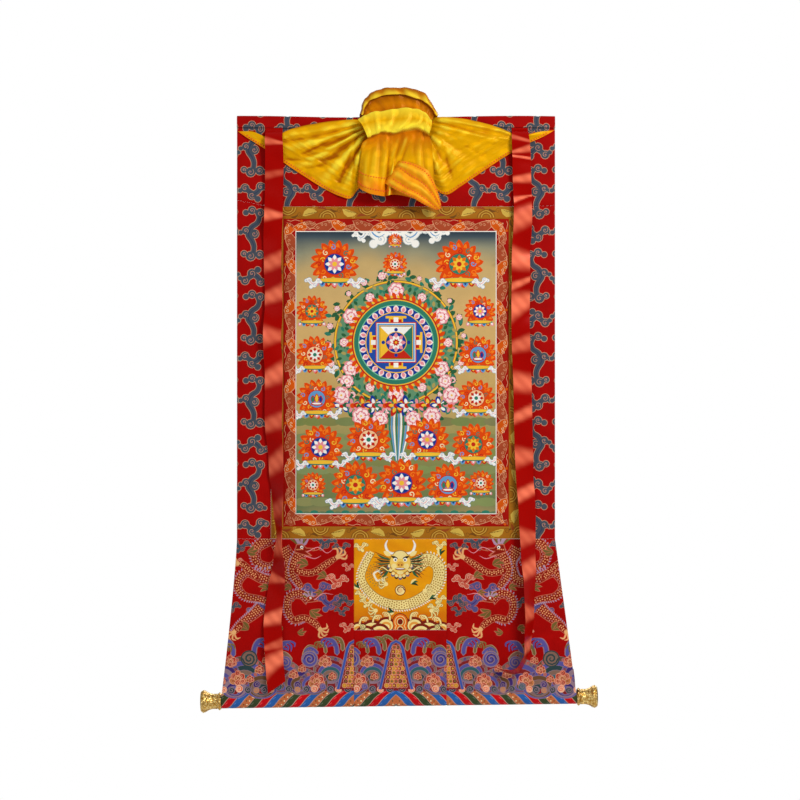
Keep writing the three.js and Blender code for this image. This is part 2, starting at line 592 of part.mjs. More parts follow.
function rod() {
  const length = rightEdge(ROD_CENTRE_Z) - leftEdge(ROD_CENTRE_Z) + 2 * (CAP_SOCKET_DEPTH - 2);
  const geometry = new THREE.CylinderGeometry(ROD_RADIUS, ROD_RADIUS, length, 24);
  geometry.rotateZ(Math.PI / 2);
  return piece('bottom_rod', geometry, COLOURS.wood);
}

// A turned cap that slips over one end of the rod. Its profile runs out from the socket's mouth.
function rodCap() {
  const bead = 1.4;
  const profile = [
    [0, CAP_SOCKET_DEPTH],
    [SLEEVE_RADIUS, CAP_SOCKET_DEPTH],
    [SLEEVE_RADIUS, 0],
    [CAP_INNER_RADIUS, 0],
    [CAP_INNER_RADIUS + bead, 2],
    [CAP_INNER_RADIUS + bead, 5],
    [CAP_WAIST_RADIUS, 7.5],
    [CAP_WAIST_RADIUS, 18],
    [lerp(CAP_WAIST_RADIUS, CAP_OUTER_RADIUS, 0.35), 27],
    [CAP_OUTER_RADIUS, 35],
    [CAP_OUTER_RADIUS, 40],
    [CAP_OUTER_RADIUS - 2.5, CAP_LENGTH - 1],
    [CAP_OUTER_RADIUS * 0.5, CAP_LENGTH],
    [0, CAP_LENGTH],
  ];
  const geometry = new THREE.LatheGeometry(profile.map(([radius, along]) => new THREE.Vector2(radius, along)), 28);
  return fromManifold(toManifold(geometry));
}

function placedCap(name, side, endX) {
  const cap = piece(name, rodCap(), COLOURS.brass);
  cap.rotation.z = side < 0 ? Math.PI / 2 : -Math.PI / 2;
  cap.position.x = endX + side * 0.6;
  return cap;
}

const scroll = new THREE.Group();
scroll.add(piece('heading', heading(), COLOURS.brocade));
scroll.add(piece('top_panel', topPanel(), COLOURS.brocade));
scroll.add(piece('side_panel_left', sidePanel(-1), COLOURS.brocade));
scroll.add(piece('side_panel_right', sidePanel(1), COLOURS.brocade));
for (const side of ['top', 'bottom', 'left', 'right']) {
  const goldHeight = GOLD_TOP - GOLD_BOTTOM;
  scroll.add(piece(`gold_border_${side}`, borderStrip(side, GOLD_OUTER_X, GOLD_TOP, goldHeight), COLOURS.gold));
  scroll.add(piece(
    `red_border_${side}`,
    borderStrip(side, GOLD_OUTER_X - BORDER_WIDTH, GOLD_TOP - BORDER_WIDTH, goldHeight - 2 * BORDER_WIDTH),
    COLOURS.red,
  ));
}
scroll.add(piece('picture_cloth', picture(), COLOURS.picture));
scroll.add(piece('door_panel', door(), COLOURS.door));
scroll.add(...lowerPanels());
scroll.add(piece('veil', veil(), COLOURS.silk));
scroll.add(piece('ribbon_left', ribbon(LEFT_RIBBON, { steps: 46, slant: 11 }), COLOURS.satin));
scroll.add(piece('ribbon_right', ribbon(RIGHT_RIBBON, { steps: 60, slant: 0 }), COLOURS.satin));

// The rod hangs a little lower at its left end, and its caps turn with it
const weight = new THREE.Group();
const rodLeft = leftEdge(ROD_CENTRE_Z);
const rodRight = rightEdge(ROD_CENTRE_Z);
const rodMiddle = (rodLeft + rodRight) / 2;
weight.position.set(rodMiddle, SLEEVE_RADIUS, rodCentreZ(rodMiddle));
weight.rotation.y = -ROD_TILT;
weight.add(rod());
weight.add(placedCap('rod_cap_left', -1, (rodLeft - rodRight) / 2));
weight.add(placedCap('rod_cap_right', 1, (rodRight - rodLeft) / 2));
scroll.add(weight);

export default scroll;
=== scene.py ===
# %% [markdown]
# # A thangka scroll painting
# This lesson dresses a hanging scroll: brocade panels sewn round a picture cloth, two satin
# ribbons, a gathered silk veil, and a rod with brass caps in the bottom sleeve. The solids are
# loaded first, because every cloth here takes its place from them. Sizes are written in
# millimetres, as a tailor has them, and turned to metres only when a mesh is made.

# %% Load the solids
import json
import math
import random
import bpy
import numpy as np
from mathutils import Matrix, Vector
from mathutils.geometry import delaunay_2d_cdt

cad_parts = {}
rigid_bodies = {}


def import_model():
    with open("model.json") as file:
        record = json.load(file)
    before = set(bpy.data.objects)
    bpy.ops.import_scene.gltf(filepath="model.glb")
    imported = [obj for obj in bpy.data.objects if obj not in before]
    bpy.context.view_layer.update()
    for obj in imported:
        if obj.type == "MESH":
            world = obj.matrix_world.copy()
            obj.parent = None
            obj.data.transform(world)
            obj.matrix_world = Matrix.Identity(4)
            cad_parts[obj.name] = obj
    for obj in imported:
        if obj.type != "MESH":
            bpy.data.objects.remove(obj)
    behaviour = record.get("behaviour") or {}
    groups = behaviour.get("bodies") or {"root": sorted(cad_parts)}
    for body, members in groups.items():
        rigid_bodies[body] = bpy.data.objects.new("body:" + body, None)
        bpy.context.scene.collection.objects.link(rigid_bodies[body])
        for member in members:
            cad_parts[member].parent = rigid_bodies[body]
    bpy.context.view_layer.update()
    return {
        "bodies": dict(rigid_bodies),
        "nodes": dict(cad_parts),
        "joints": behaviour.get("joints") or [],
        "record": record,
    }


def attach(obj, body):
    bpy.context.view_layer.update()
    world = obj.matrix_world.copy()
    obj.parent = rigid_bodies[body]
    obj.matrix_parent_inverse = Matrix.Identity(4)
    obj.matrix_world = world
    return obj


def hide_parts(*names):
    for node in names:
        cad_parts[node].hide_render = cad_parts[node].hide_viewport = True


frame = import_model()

MM = 0.001

# %% [markdown]
# ## Camera, floor and light
# The scroll hangs flat and is seen straight on, so the camera looks along +Y at the middle of the
# cloth. A long lens keeps the sides parallel. A large soft lamp shines from the upper right in
# front and a weaker one from the lower left, so that folds are shaded. A third lights the back,
# and an even pale world fills the rest.

# %% Camera
scene = bpy.context.scene
camera_data = bpy.data.cameras.new("camera")
camera = bpy.data.objects.new("camera", camera_data)
scene.collection.objects.link(camera)
CAMERA_DISTANCE = 4.0
VIEW_WIDTH = 1.696
camera_data.sensor_width = 36
camera_data.lens = camera_data.sensor_width * CAMERA_DISTANCE / VIEW_WIDTH
camera.location = (0.00848, -CAMERA_DISTANCE, -0.600)
camera.rotation_euler = (math.pi / 2, 0, 0)
scene.camera = camera
print("lens", round(camera_data.lens, 1), "mm")

# %% Helpers for node trees


def set_inputs(node, values):
    """Sets inputs by name. A _ in a name stands for a space."""
    for name, value in values.items():
        node.inputs[name.replace("_", " ")].default_value = value


def add(tree, kind, settings=None, **values):
    """A new node with its settings and its inputs' values."""
    made = tree.nodes.new(kind)
    for name, value in (settings or {}).items():
        setattr(made, name, value)
    set_inputs(made, values)
    return made


def wire(tree, *runs):
    """Links nodes: each run is a node, its output, another node and its input."""
    for source, out, target, into in runs:
        tree.links.new(source.outputs[out], target.inputs[into])


def ramp(tree, low, high, ends=(0.0, 1.0)):
    """A ramp between two colours, placed at the two ends."""
    made = add(tree, "ShaderNodeValToRGB")
    for element, colour, place in zip(made.color_ramp.elements, (low, high), ends):
        element.position = place
        element.color = (*colour, 1)
    return made


def new_material(name, **values):
    """A material, its tree and its shader, with the shader's inputs set."""
    material = bpy.data.materials.new(name)
    material.use_nodes = True
    shader = material.node_tree.nodes["Principled BSDF"]
    set_inputs(shader, values)
    return material, material.node_tree, shader


print("node helpers ready")

# %% Floor, world and lamps
FLOOR_HALF = 1.2
FLOOR_Z = -1.75
floor_corners = [(x * FLOOR_HALF, y * FLOOR_HALF, FLOOR_Z) for x, y in ((-1, -1), (1, -1), (1, 1), (-1, 1))]
floor_mesh = bpy.data.meshes.new("floor")
floor_mesh.from_pydata(floor_corners, [], [(0, 1, 2, 3)])
floor = bpy.data.objects.new("floor", floor_mesh)
scene.collection.objects.link(floor)
floor_paint = new_material("pale_floor", Base_Color=(0.82, 0.82, 0.81, 1), Roughness=0.8)[0]
floor_mesh.materials.append(floor_paint)

world = bpy.data.worlds.new("white_room")
world.use_nodes = True
scene.world = world
room = world.node_tree
room.nodes.clear()
seen = add(room, "ShaderNodeBackground", Color=(1, 1, 1, 1), Strength=1.0)
fill = add(room, "ShaderNodeBackground", Color=(0.97, 0.98, 1.0, 1), Strength=0.42)
ray = add(room, "ShaderNodeLightPath")
choose = add(room, "ShaderNodeMixShader")
world_out = add(room, "ShaderNodeOutputWorld")
wire(room, (ray, "Is Camera Ray", choose, 0), (fill, 0, choose, 1), (seen, 0, choose, 2))
wire(room, (choose, 0, world_out, 0))
scene.view_settings.view_transform = "Standard"


def lamp(name, place, aim, size, power):
    data = bpy.data.lights.new(name, "AREA")
    data.shape = "SQUARE"
    data.size = size
    data.energy = power
    thing = bpy.data.objects.new(name, data)
    scene.collection.objects.link(thing)
    thing.location = place
    thing.rotation_euler = (Vector(aim) - Vector(place)).to_track_quat("-Z", "Y").to_euler()


lamp("key", (1.6, -2.5, 0.9), (0.0, 0.0, -0.55), 1.0, 67)
lamp("front", (-1.9, -3.0, -0.3), (0.0, 0.0, -0.7), 2.0, 16)
lamp("behind", (0.6, 2.6, 0.6), (0.0, 0.0, -0.6), 2.2, 60)

# %% [markdown]
# ## A weaver's draft
# Brocade is figured by its threads, so the figures have hard edges and flat colours. One way is a
# picture laid on the cloth, another a texture made of nodes. Here each figure is a flat outline
# in a draft, as a weaver draws it, and the cloth is then cut along these outlines into triangles
# that carry the thread colour. Later shapes lie over earlier ones.

# %% Thread colours


def dye(red, green, blue):
    """A colour as seen on screen, 0 to 255, in the linear scale that shaders use."""
    return tuple(
        (c / 255 / 12.92) if c <= 10 else ((c / 255 + 0.055) / 1.055) ** 2.4 for c in (red, green, blue)
    )


RED = dye(160, 5, 3)
SLATE = dye(70, 76, 86)
SLATE_BLUE = dye(52, 62, 84)
BEIGE = dye(196, 142, 112)
PINK = dye(176, 96, 120)
TEAL = dye(52, 92, 98)
BROWN = dye(104, 72, 46)
OLIVE = dye(118, 98, 56)
SALMON = dye(226, 112, 84)
ORANGE = dye(224, 104, 20)
GOLD = dye(220, 160, 60)
CREAM = dye(240, 220, 170)
WHITE = dye(240, 236, 226)
INK = dye(44, 30, 22)
print("brocade red, linear:", [round(c, 3) for c in RED])

# %% A draft and its simplest marks


def flow(points, steps=5):
    """A smooth line through a few points."""
    pts = [np.array(p, float) for p in points]
    if len(pts) < 3:
        return [pts[0] + (pts[-1] - pts[0]) * i / steps for i in range(steps + 1)]
    ends = [2 * pts[0] - pts[1]] + pts + [2 * pts[-1] - pts[-2]]
    path = []
    for a, b, c, d in zip(ends, ends[1:], ends[2:], ends[3:]):
        for i in range(steps):
            t = i / steps
            square, cube = 2 * a - 5 * b + 4 * c - d, 3 * b - a - 3 * c + d
            path.append(0.5 * (2 * b + (c - a) * t + square * t * t + cube * t ** 3))
    return path + [pts[-1]]


class Draft:
    """Flat shapes in the order they are laid, in millimetres, each with a colour and a lustre."""

    def __init__(self, frame=None):
        self.shapes = []
        self.frame = frame or (lambda x, z: (x, z))

    def area(self, points, colour, lustre=0.0):
        placed = [self.frame(x, z) for x, z in points]
        turn = sum(a[0] * b[1] - b[0] * a[1] for a, b in zip(placed, placed[1:] + placed[:1]))
        if abs(turn) > 0.05:
            self.shapes.append((placed if turn > 0 else placed[::-1], colour, lustre))

    def disc(self, x, z, radius, colour, lustre=0.0, sides=12, squash=1.0):
        ring = []
        for i in range(sides):
            a = 2 * math.pi * i / sides
            ring.append((x + radius * math.cos(a), z + radius * squash * math.sin(a)))
        self.area(ring, colour, lustre)

    def line(self, points, width, colour, lustre=0.0, ends=(1.0, 1.0), steps=5):
        path = flow(points, steps)
        last = len(path) - 1
        left, right = [], []
        for i, point in enumerate(path):
            along = path[min(i + 1, last)] - path[max(i - 1, 0)]
            along = along / max(np.hypot(*along), 1e-6)
            share = i / last
            start = ends[0] + (1 - ends[0]) * min(1, share / 0.35)
            finish = ends[1] + (1 - ends[1]) * min(1, (1 - share) / 0.35)
            half = width / 2 * start * finish
            left.append((point[0] - along[1] * half, point[1] + along[0] * half))
            right.append((point[0] + along[1] * half, point[1] - along[0] * half))
            if i == 0:
                left.insert(0, (point[0] - along[0] * half, point[1] - along[1] * half))
            elif i == last:
                left.append((point[0] + along[0] * half, point[1] + along[1] * half))
        self.area(left + right[::-1], colour, lustre)

    def curl(self, x, z, radius, colour, width=1.3, turns=1.3, start=0.0, hand=1, lustre=0.0):
        count = max(6, int(turns * 9))
        path = []
        for i in range(count + 1):
            t = i / count
            a = start + hand * 2 * math.pi * turns * t
            r = radius * (1 - 0.86 * t)
            path.append((x + r * math.cos(a), z + r * math.sin(a)))
        self.line(path, width, colour, lustre, ends=(0.9, 0.5), steps=1)

    def leaf(self, x, z, length, width, lean, colour, lustre=0.0, bend=0.0):
        upper = [(0, 0), (0.2, 0.36), (0.5, 0.5), (0.8, 0.34), (1, 0)]
        placed = []
        for s, h in upper + [(s, -h) for s, h in upper[-2:0:-1]]:
            u, v = s * length, h * width + bend * length * math.sin(math.pi * s)
            placed.append(
                (x + u * math.cos(lean) - v * math.sin(lean), z + u * math.sin(lean) + v * math.cos(lean))
            )
        self.area(placed, colour, lustre)


print("a draft holds discs, lines, curls and leaves")

# %% [markdown]
# ## Cutting the cloth along the draft
# A constrained triangulation takes the panel's outline, the draft's shapes and a net of spare
# points, and returns triangles that never cross a drawn edge. The front face is then laid on the
# hung cloth's folds, a coarser back face follows, and a rim closes the two. The cloth dips a
# little along its edges, as it does beside a seam.

# %% Helpers for the net of points
EDGE_CLEARANCE = 1e-3


def smooth(x, low, high):
    t = np.clip((x - low) / (high - low), 0, 1)
    return t * t * (3 - 2 * t)


def within(points, outline):
    """Which points lie inside a closed outline."""
    x, y = points[:, 0], points[:, 1]
    inside = np.zeros(len(points), bool)
    for (x0, y0), (x1, y1) in zip(outline, np.roll(outline, -1, axis=0)):
        crossing = ((y0 > y) != (y1 > y)) & (x < (x1 - x0) * (y - y0) / ((y1 - y0) or 1e-9) + x0)
        inside ^= crossing
    return inside


def to_edge(points, outline):
    """How far each point lies from the outline."""
    best = np.full(len(points), 1e9)
    for a, b in zip(outline, np.roll(outline, -1, axis=0)):
        run = b - a
        t = np.clip(((points - a) @ run) / max(run @ run, 1e-9), 0, 1)
        best = np.minimum(best, np.hypot(*(points - a - t[:, None] * run).T))
    return best


def edge_points(corners, spacing):
    """An outline from a few corners, with points no further apart than the spacing."""
    ring = []
    for a, b in zip(corners, corners[1:] + corners[:1]):
        count = max(1, math.ceil(math.dist(a, b) / spacing))
        ring += [(a[0] + (b[0] - a[0]) * i / count, a[1] + (b[1] - a[1]) * i / count) for i in range(count)]
    return ring


def box(low_x, low_z, high_x, high_z):
    return [(low_x, low_z), (high_x, low_z), (high_x, high_z), (low_x, high_z)]


def net(outline, pitch, clear, rows=()):
    low, high = outline.min(0), outline.max(0)
    xs = np.arange(low[0] + pitch * 0.37, high[0], pitch)
    zs = np.concatenate([np.arange(low[1] + pitch * 0.41, high[1], pitch), np.array(rows, float)])
    spots = np.stack(np.meshgrid(xs, zs), -1).reshape(-1, 2)
    spots = spots[within(spots, outline)]
    return spots[to_edge(spots, outline) > clear]


def triangles(verts, faces):
    """Triangles along the drawn edges, each with the highest shape that covers it."""
    out, _, tris, _, _, covers = delaunay_2d_cdt(
        [Vector(v) for v in verts], [], faces, 1, EDGE_CLEARANCE, True
    )
    points = np.array([tuple(v) for v in out])
    boxes = []
    for face in faces:
        xs, zs = zip(*(verts[i] for i in face))
        boxes.append((min(xs), min(zs), max(xs), max(zs)))
    kept, tops = [], []
    for tri, cover in zip(tris, covers):
        if 0 not in cover:
            continue
        cx = sum(points[i][0] for i in tri) / 3
        cz = sum(points[i][1] for i in tri) / 3
        top = 0
        for shape in cover:
            if shape > top:
                x0, z0, x1, z1 = boxes[shape]
                if x0 <= cx <= x1 and z0 <= cz <= z1:
                    top = shape
        kept.append(tri)
        tops.append(top)
    return points, kept, tops


print("net and triangles ready")

# %% The cloth builder
EDGE_DIP = 0.85
EDGE_DIP_WIDTH = 2.4
FIRST_INSET = 0.9
NET_CLEARANCE = 3.2


def mesh_object(name, verts, faces, materials):
    mesh = bpy.data.meshes.new(name)
    mesh.from_pydata(verts, [], faces)
    for material in materials:
        mesh.materials.append(material)
    thing = bpy.data.objects.new(name, mesh)
    scene.collection.objects.link(thing)
    return thing


def woven(name, outline, draft, ground, place, thickness, pitch, materials, reverse, rows=(), dip=EDGE_DIP):
    """A closed sheet of figured cloth. place(x, z, lift) gives a point at a height above its back."""
    ring = np.array(outline, float)
    verts = [tuple(p) for p in ring]
    faces = [list(range(len(ring)))]
    for points, _, _ in draft.shapes:
        faces.append(list(range(len(verts), len(verts) + len(points))))
        verts += points
    inner = net(ring, pitch, NET_CLEARANCE, rows)
    for inset in (FIRST_INSET, EDGE_DIP_WIDTH):
        ahead, behind = np.roll(ring, -1, axis=0), np.roll(ring, 1, axis=0)
        run = ahead - behind
        run /= np.maximum(np.hypot(*run.T), 1e-9)[:, None]
        spots = ring + np.stack([-run[:, 1], run[:, 0]], -1) * inset
        verts += [tuple(p) for p in spots[within(spots, ring)]]
    verts += [tuple(p) for p in inner]
    points, tris, tops = triangles(verts, faces)
    used = np.unique(np.array(tris).ravel())
    renumber = np.full(len(points), -1)
    renumber[used] = np.arange(len(used))
    points = points[used]
    tris = [tuple(int(renumber[i]) for i in tri) for tri in tris]
    directed = {}
    for tri in tris:
        for a, b in zip(tri, tri[1:] + tri[:1]):
            directed[(a, b)] = True
    follows = {a: b for a, b in directed if (b, a) not in directed}
    start = next(iter(follows))
    loop = [start]
    while follows[loop[-1]] != start:
        loop.append(follows[loop[-1]])
    reach = to_edge(points, ring)
    lift = thickness - dip * (1 - np.clip(reach / EDGE_DIP_WIDTH, 0, 1)) ** 2
    front = place(points[:, 0], points[:, 1], lift)
    rim = points[loop]
    spare = net(rim, max(pitch * 2, 16), 4, rows)
    back_points, back_tris, _ = triangles(
        [tuple(p) for p in rim] + [tuple(p) for p in spare], [list(range(len(rim)))]
    )
    back = place(back_points[:, 0], back_points[:, 1], np.zeros(len(back_points)))
    shift = len(points)
    nearest = {tuple(np.round(p, 4)): i for i, p in enumerate(back_points)}
    under = [nearest.get(tuple(np.round(p, 4)), None) for p in rim]
    if None in under:
        for i, u in enumerate(under):
            if u is None:
                under[i] = int(np.argmin(np.hypot(*(back_points - rim[i]).T)))
    all_faces = list(tris) + [tuple(shift + i for i in reversed(tri)) for tri in back_tris]
    for i, a in enumerate(loop):
        b, under_a, under_b = loop[(i + 1) % len(loop)], shift + under[i], shift + under[(i + 1) % len(loop)]
        all_faces.append((b, a, under_a, under_b) if under_a != under_b else (b, a, under_a))
    verts3 = np.concatenate([front, back]) * MM
    thing = mesh_object(name, verts3.tolist(), all_faces, materials)
    mesh = thing.data
    corners = len(mesh.loops)
    colours = np.ones((corners, 4))
    flat = np.concatenate([points, back_points])
    corner_vertex = np.zeros(corners, int)
    mesh.loops.foreach_get("vertex_index", corner_vertex)
    starts = np.zeros(len(mesh.polygons), int)
    mesh.polygons.foreach_get("loop_start", starts)
    totals = np.zeros(len(mesh.polygons), int)
    mesh.polygons.foreach_get("loop_total", totals)
    owner = np.repeat(np.arange(len(mesh.polygons)), totals)
    palette = np.array([(0, 0, 0, 0)] + [(*colour, lustre) for _, colour, lustre in draft.shapes])
    top_of = np.concatenate([np.array(tops), np.full(len(all_faces) - len(tops), -1)])
    shape_of = top_of[owner]
    spots = flat[corner_vertex]
    base = ground(spots[:, 0], spots[:, 1]) if callable(ground) else np.tile(np.array(ground), (corners, 1))
    colours[:, :3] = base[:, :3]
    colours[:, 3] = 0
    drawn = shape_of > 0
    colours[drawn] = palette[shape_of[drawn]]
    behind = shape_of < 0
    colours[behind, :3] = np.array(reverse)
    layer = mesh.color_attributes.new("dye", "FLOAT_COLOR", "CORNER")
    opaque = colours.copy()
    opaque[:, 3] = 1
    layer.data.foreach_set("color", opaque.ravel())
    lustre_layer = mesh.attributes.new("lustre", "FLOAT", "CORNER")
    lustre_layer.data.foreach_set("value", colours[:, 3].copy())
    uv = mesh.uv_layers.new(name="flat")
    uv.data.foreach_set("uv", (spots * MM).ravel())
    mesh.polygons.foreach_set("use_smooth", np.ones(len(mesh.polygons), bool))
    if len(materials) > 1:
        index = np.zeros(len(mesh.polygons), int)
        index[len(tops):] = 1
        mesh.polygons.foreach_set("material_index", index)
    mesh.update()
    mesh.set_sharp_from_angle(angle=0.75)
    print(
        f"{name}: {len(tops)} front and {len(all_faces) - len(tops)} other faces, {len(draft.shapes)} shapes"
    )
    return thing


def outline_area(outline):
    ring = np.array(outline)
    ahead = np.roll(ring, -1, axis=0)
    return abs(float(np.sum(ring[:, 0] * ahead[:, 1] - ahead[:, 0] * ring[:, 1]))) / 2e6


def hung(thing, node, outline):
    """Attaches a finished cloth to the root body and hides the solid it stands for. Its flat area is worked
    out but not kept.
    """
    ring = np.array(outline)
    width, length = (ring.max(0) - ring.min(0)) * MM
    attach(thing, "root")
    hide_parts(node)
    min(outline_area(outline), float(width * length))

# %% [markdown]
# ## Cloth finishes
# Each cloth is threads over threads, so its colour is never even: the material mixes the drawn
# dye with slow fading and with the grain of single threads, and bumps it with a ribbed weave read
# from the flat cloth's own map. Satin lies smoother than brocade, and the reverse is one rougher
# colour with a coarser weave.

# %% A maker of fabric materials


def fabric(name, rough, specular, sheen, thread=0.55, rib=0.25, fade=0.12, damask=0.0, tinted=0.75):
    """Threads a pitch of thread mm apart. Rib, fade, damask and tinted are shares from 0 to 1."""
    material, tree, shader = new_material(
        name, Specular_IOR_Level=specular, Sheen_Weight=sheen, Sheen_Roughness=0.45
    )
    colour = add(tree, "ShaderNodeAttribute", {"attribute_name": "dye"})
    lustre = add(tree, "ShaderNodeAttribute", {"attribute_name": "lustre"})
    flat = add(tree, "ShaderNodeUVMap", {"uv_map": "flat"})
    cloud = add(tree, "ShaderNodeTexNoise", Scale=26, Detail=3)
    grain = add(tree, "ShaderNodeTexNoise", Scale=900, Detail=2)
    weft_scale = 2 * math.pi / (20 * thread * MM)
    warp_scale = 2 * math.pi / (20 * thread * 0.8 * MM)
    weft = add(tree, "ShaderNodeTexWave", {"bands_direction": "Y"}, Scale=weft_scale, Distortion=0.6)
    set_inputs(weft, {"Detail_Scale": 2})
    warp = add(tree, "ShaderNodeTexWave", {"bands_direction": "X"}, Scale=warp_scale)
    petals = add(tree, "ShaderNodeTexVoronoi", {"feature": "SMOOTH_F1"}, Scale=70)
    slow = add(tree, "ShaderNodeMapRange", From_Min=0.3, From_Max=0.7, To_Min=1 - fade, To_Max=1 + fade * 0.6)
    fine = add(tree, "ShaderNodeMapRange", To_Min=0.86, To_Max=1.14)
    figure = add(
        tree, "ShaderNodeMapRange", From_Min=0.25, From_Max=0.45, To_Min=1 + damask, To_Max=1 - damask
    )
    both = add(tree, "ShaderNodeMath", {"operation": "MULTIPLY"})
    all_three = add(tree, "ShaderNodeMath", {"operation": "MULTIPLY"})
    shade = add(tree, "ShaderNodeVectorMath", {"operation": "SCALE"})
    tint = add(tree, "ShaderNodeMix", {"data_type": "RGBA"}, Factor=tinted)
    tint.inputs[6].default_value = (1, 1, 1, 1)
    dull = add(tree, "ShaderNodeMapRange", To_Min=rough, To_Max=max(0.2, rough - 0.18))
    weave = add(tree, "ShaderNodeMath", {"operation": "MULTIPLY_ADD"})
    weave.inputs[1].default_value = 0.6
    bump = add(tree, "ShaderNodeBump", Strength=rib, Distance=0.00012)
    for node in (cloud, grain, weft, warp, petals):
        wire(tree, (flat, "UV", node, "Vector"))
    wire(
        tree, (cloud, "Fac", slow, "Value"), (grain, "Fac", fine, "Value"), (slow, 0, both, 0),
        (fine, 0, both, 1),
        (petals, "Distance", figure, "Value"), (both, 0, all_three, 0), (figure, 0, all_three, 1),
        (colour, "Color", shade, 0), (all_three, 0, shade, "Scale"), (shade, "Vector", shader, "Base Color"),
        (colour, "Color", tint, 7), (tint, 2, shader, "Specular Tint"), (lustre, "Fac", dull, "Value"),
        (dull, 0, shader, "Roughness"), (warp, "Fac", weave, 0), (weft, "Fac", weave, 2),
        (weave, 0, bump, "Height"), (bump, "Normal", shader, "Normal"),
    )
    return material


brocade = fabric("brocade_face", 0.6, 0.14, 0.0)
brocade_back = fabric("brocade_reverse", 0.85, 0.1, 0.12, thread=1.1, rib=0.6, fade=0.3)
print("materials:", [m.name for m in (brocade, brocade_back)])

# %% [markdown]
# ## How the scroll hangs
# Years of being rolled leave level creases, and the flared lower part hangs in soft waves. The
# same rule that shapes the solids is written again here, with a few sharper creases listed one
# by one, so each cloth follows its solid's folds.

# %% The hung surface and the mount's outline
HALF_WIDTH = 337
GOLD_OUTER_X = 265
GOLD_TOP = -190
GOLD_BOTTOM = -894
LOWER_SEAM = -894.3
ROD_Z = -1236
ROD_TILT = math.tan(math.radians(0.75))
BROCADE = 1.8
FLARE_LEFT = 34
FLARE_RIGHT = 47
FLARE_CURVE = 1.25
SEAM_RISE_LEFT = 13
SEAM_RISE_RIGHT = 2
CREASE_PITCH = 96
CREASE_DEPTH = 1.3
WAVE_PITCH = 210
WAVE_DEPTH = 2.2
GAP = 0.3
CREASES = [
    # from x, from z, to x, to z, half width, depth (a ridge where it is positive)
    (-335, -898, 335, -903, 5, 0.7), (-330, -1044, -90, -1038, 4, -0.8), (110, -1040, 350, -1046, 4, -0.8),
    (-345, -1098, 60, -1094, 4, 0.9), (40, -1096, 362, -1104, 4, 0.8), (-335, -436, -262, -428, 5, -0.9),
    (266, -600, 335, -612, 5, -0.9), (-335, -668, -270, -660, 5, 0.9), (268, -352, 335, -344, 5, 0.8),
    (-330, -790, -272, -806, 6, -0.8), (270, -820, 335, -802, 6, 0.8), (-300, -940, -225, -990, 8, 0.9),
    (200, -1010, 300, -950, 8, 0.9), (-200, -118, -60, -150, 9, 0.7), (90, -160, 250, -128, 9, 0.7),
]


def hang(x, z):
    free = smooth(-z, 60, 260) * (1 - smooth(-z, 1090, 1195))
    in_picture = 1 - 0.7 * smooth(-z, 180, 300) * (1 - smooth(-z, 780, 900))
    crease = CREASE_DEPTH * (0.5 - 0.5 * np.cos(2 * math.pi * z / CREASE_PITCH + x / 190))
    wave = WAVE_DEPTH * (0.5 - 0.5 * np.cos(2 * math.pi * (x - 12) / WAVE_PITCH)) * smooth(-z, 820, 960)
    sharp = 0 * x
    for x0, z0, x1, z1, half, depth in CREASES:
        run = np.array([x1 - x0, z1 - z0], float)
        t = ((x - x0) * run[0] + (z - z0) * run[1]) / (run @ run)
        away = np.abs((x - x0) * run[1] - (z - z0) * run[0]) / np.hypot(*run)
        ending = 1 - smooth(t, 0.88, 1.05)
        sharp = sharp + depth * np.exp(-(away / half) ** 2) * smooth(t, -0.05, 0.12) * ending
    return free * (in_picture * (crease + wave)) + sharp * smooth(-z, 90, 200) * (1 - smooth(-z, 1150, 1200))


def laid_flat(x, z, lift):
    return np.stack([x, -lift - hang(x, z), z], -1)


def top_edge(x):
    return 2.2 * np.sin(x / 92 - 1.2) * smooth(np.abs(x), 20, 160)


def side_seam(x):
    rise = np.where(np.asarray(x) < 0, SEAM_RISE_LEFT, SEAM_RISE_RIGHT)
    return GOLD_TOP + GAP + rise * np.maximum(0, np.abs(x) - GOLD_OUTER_X) / (HALF_WIDTH - GOLD_OUTER_X)


def rod_z(x):
    return ROD_Z + ROD_TILT * x


def flare(z):
    return np.clip((LOWER_SEAM - z) / (LOWER_SEAM - ROD_Z), 0, 1)


def left_edge(z):
    return -HALF_WIDTH - FLARE_LEFT * flare(z) ** FLARE_CURVE


def right_edge(z):
    return HALF_WIDTH + FLARE_RIGHT * flare(z)


print("cloth edge at the rod:", round(float(left_edge(ROD_Z))), round(float(right_edge(ROD_Z))))

# %% [markdown]
# ## The cloud brocade
# The upper mount is deep red satin with slate clouds: a winding stem with curled lobes, edged in
# a beige thread. The repeat is drawn once and set in staggered columns, turned over in every
# other one, as a loom repeats it.

# %% One cloud scroll and its repeat
COLUMN = 66
REPEAT = 178
TALL_CLOUD = {
    "stem": [
        (-4, 48), (-9, 36), (-5, 24), (6, 16), (12, 6), (14, -2), (6, -14), (2, -26), (3, -38), (2, -46)
    ],
    "lobes": [
        (-11, 45, 9.4), (6, 51, 8.4), (19, 46, 6.2), (1, 1, 9.6), (19, 8, 8.4), (30, 4, 4.8),
        (-10, -43, 9.2), (9, -46, 10.2), (23, -41, 6.6), (-21, -46, 4.6)
    ],
    "curls": [
        (-11, 45, 6.6, 1), (6, 51, 5.8, -1), (1, 1, 7, 1), (19, 8, 5.6, -1), (-10, -43, 6.6, -1),
        (9, -46, 7.4, 1), (23, -41, 4, -1)
    ],
}
SHORT_CLOUD = {
    "stem": [(-17, 9), (-9, 2), (0, -3), (9, 2), (15, 11), (24, 14)],
    "lobes": [(-18, 9, 8.8), (-28, 4, 4.8), (-3, -6, 9.6), (9, -14, 6.6), (15, 12, 9), (27, 10, 6)],
    "curls": [(-18, 9, 6.2, 1), (-3, -6, 7, -1), (15, 12, 6.4, 1), (27, 10, 3.8, -1)],
}


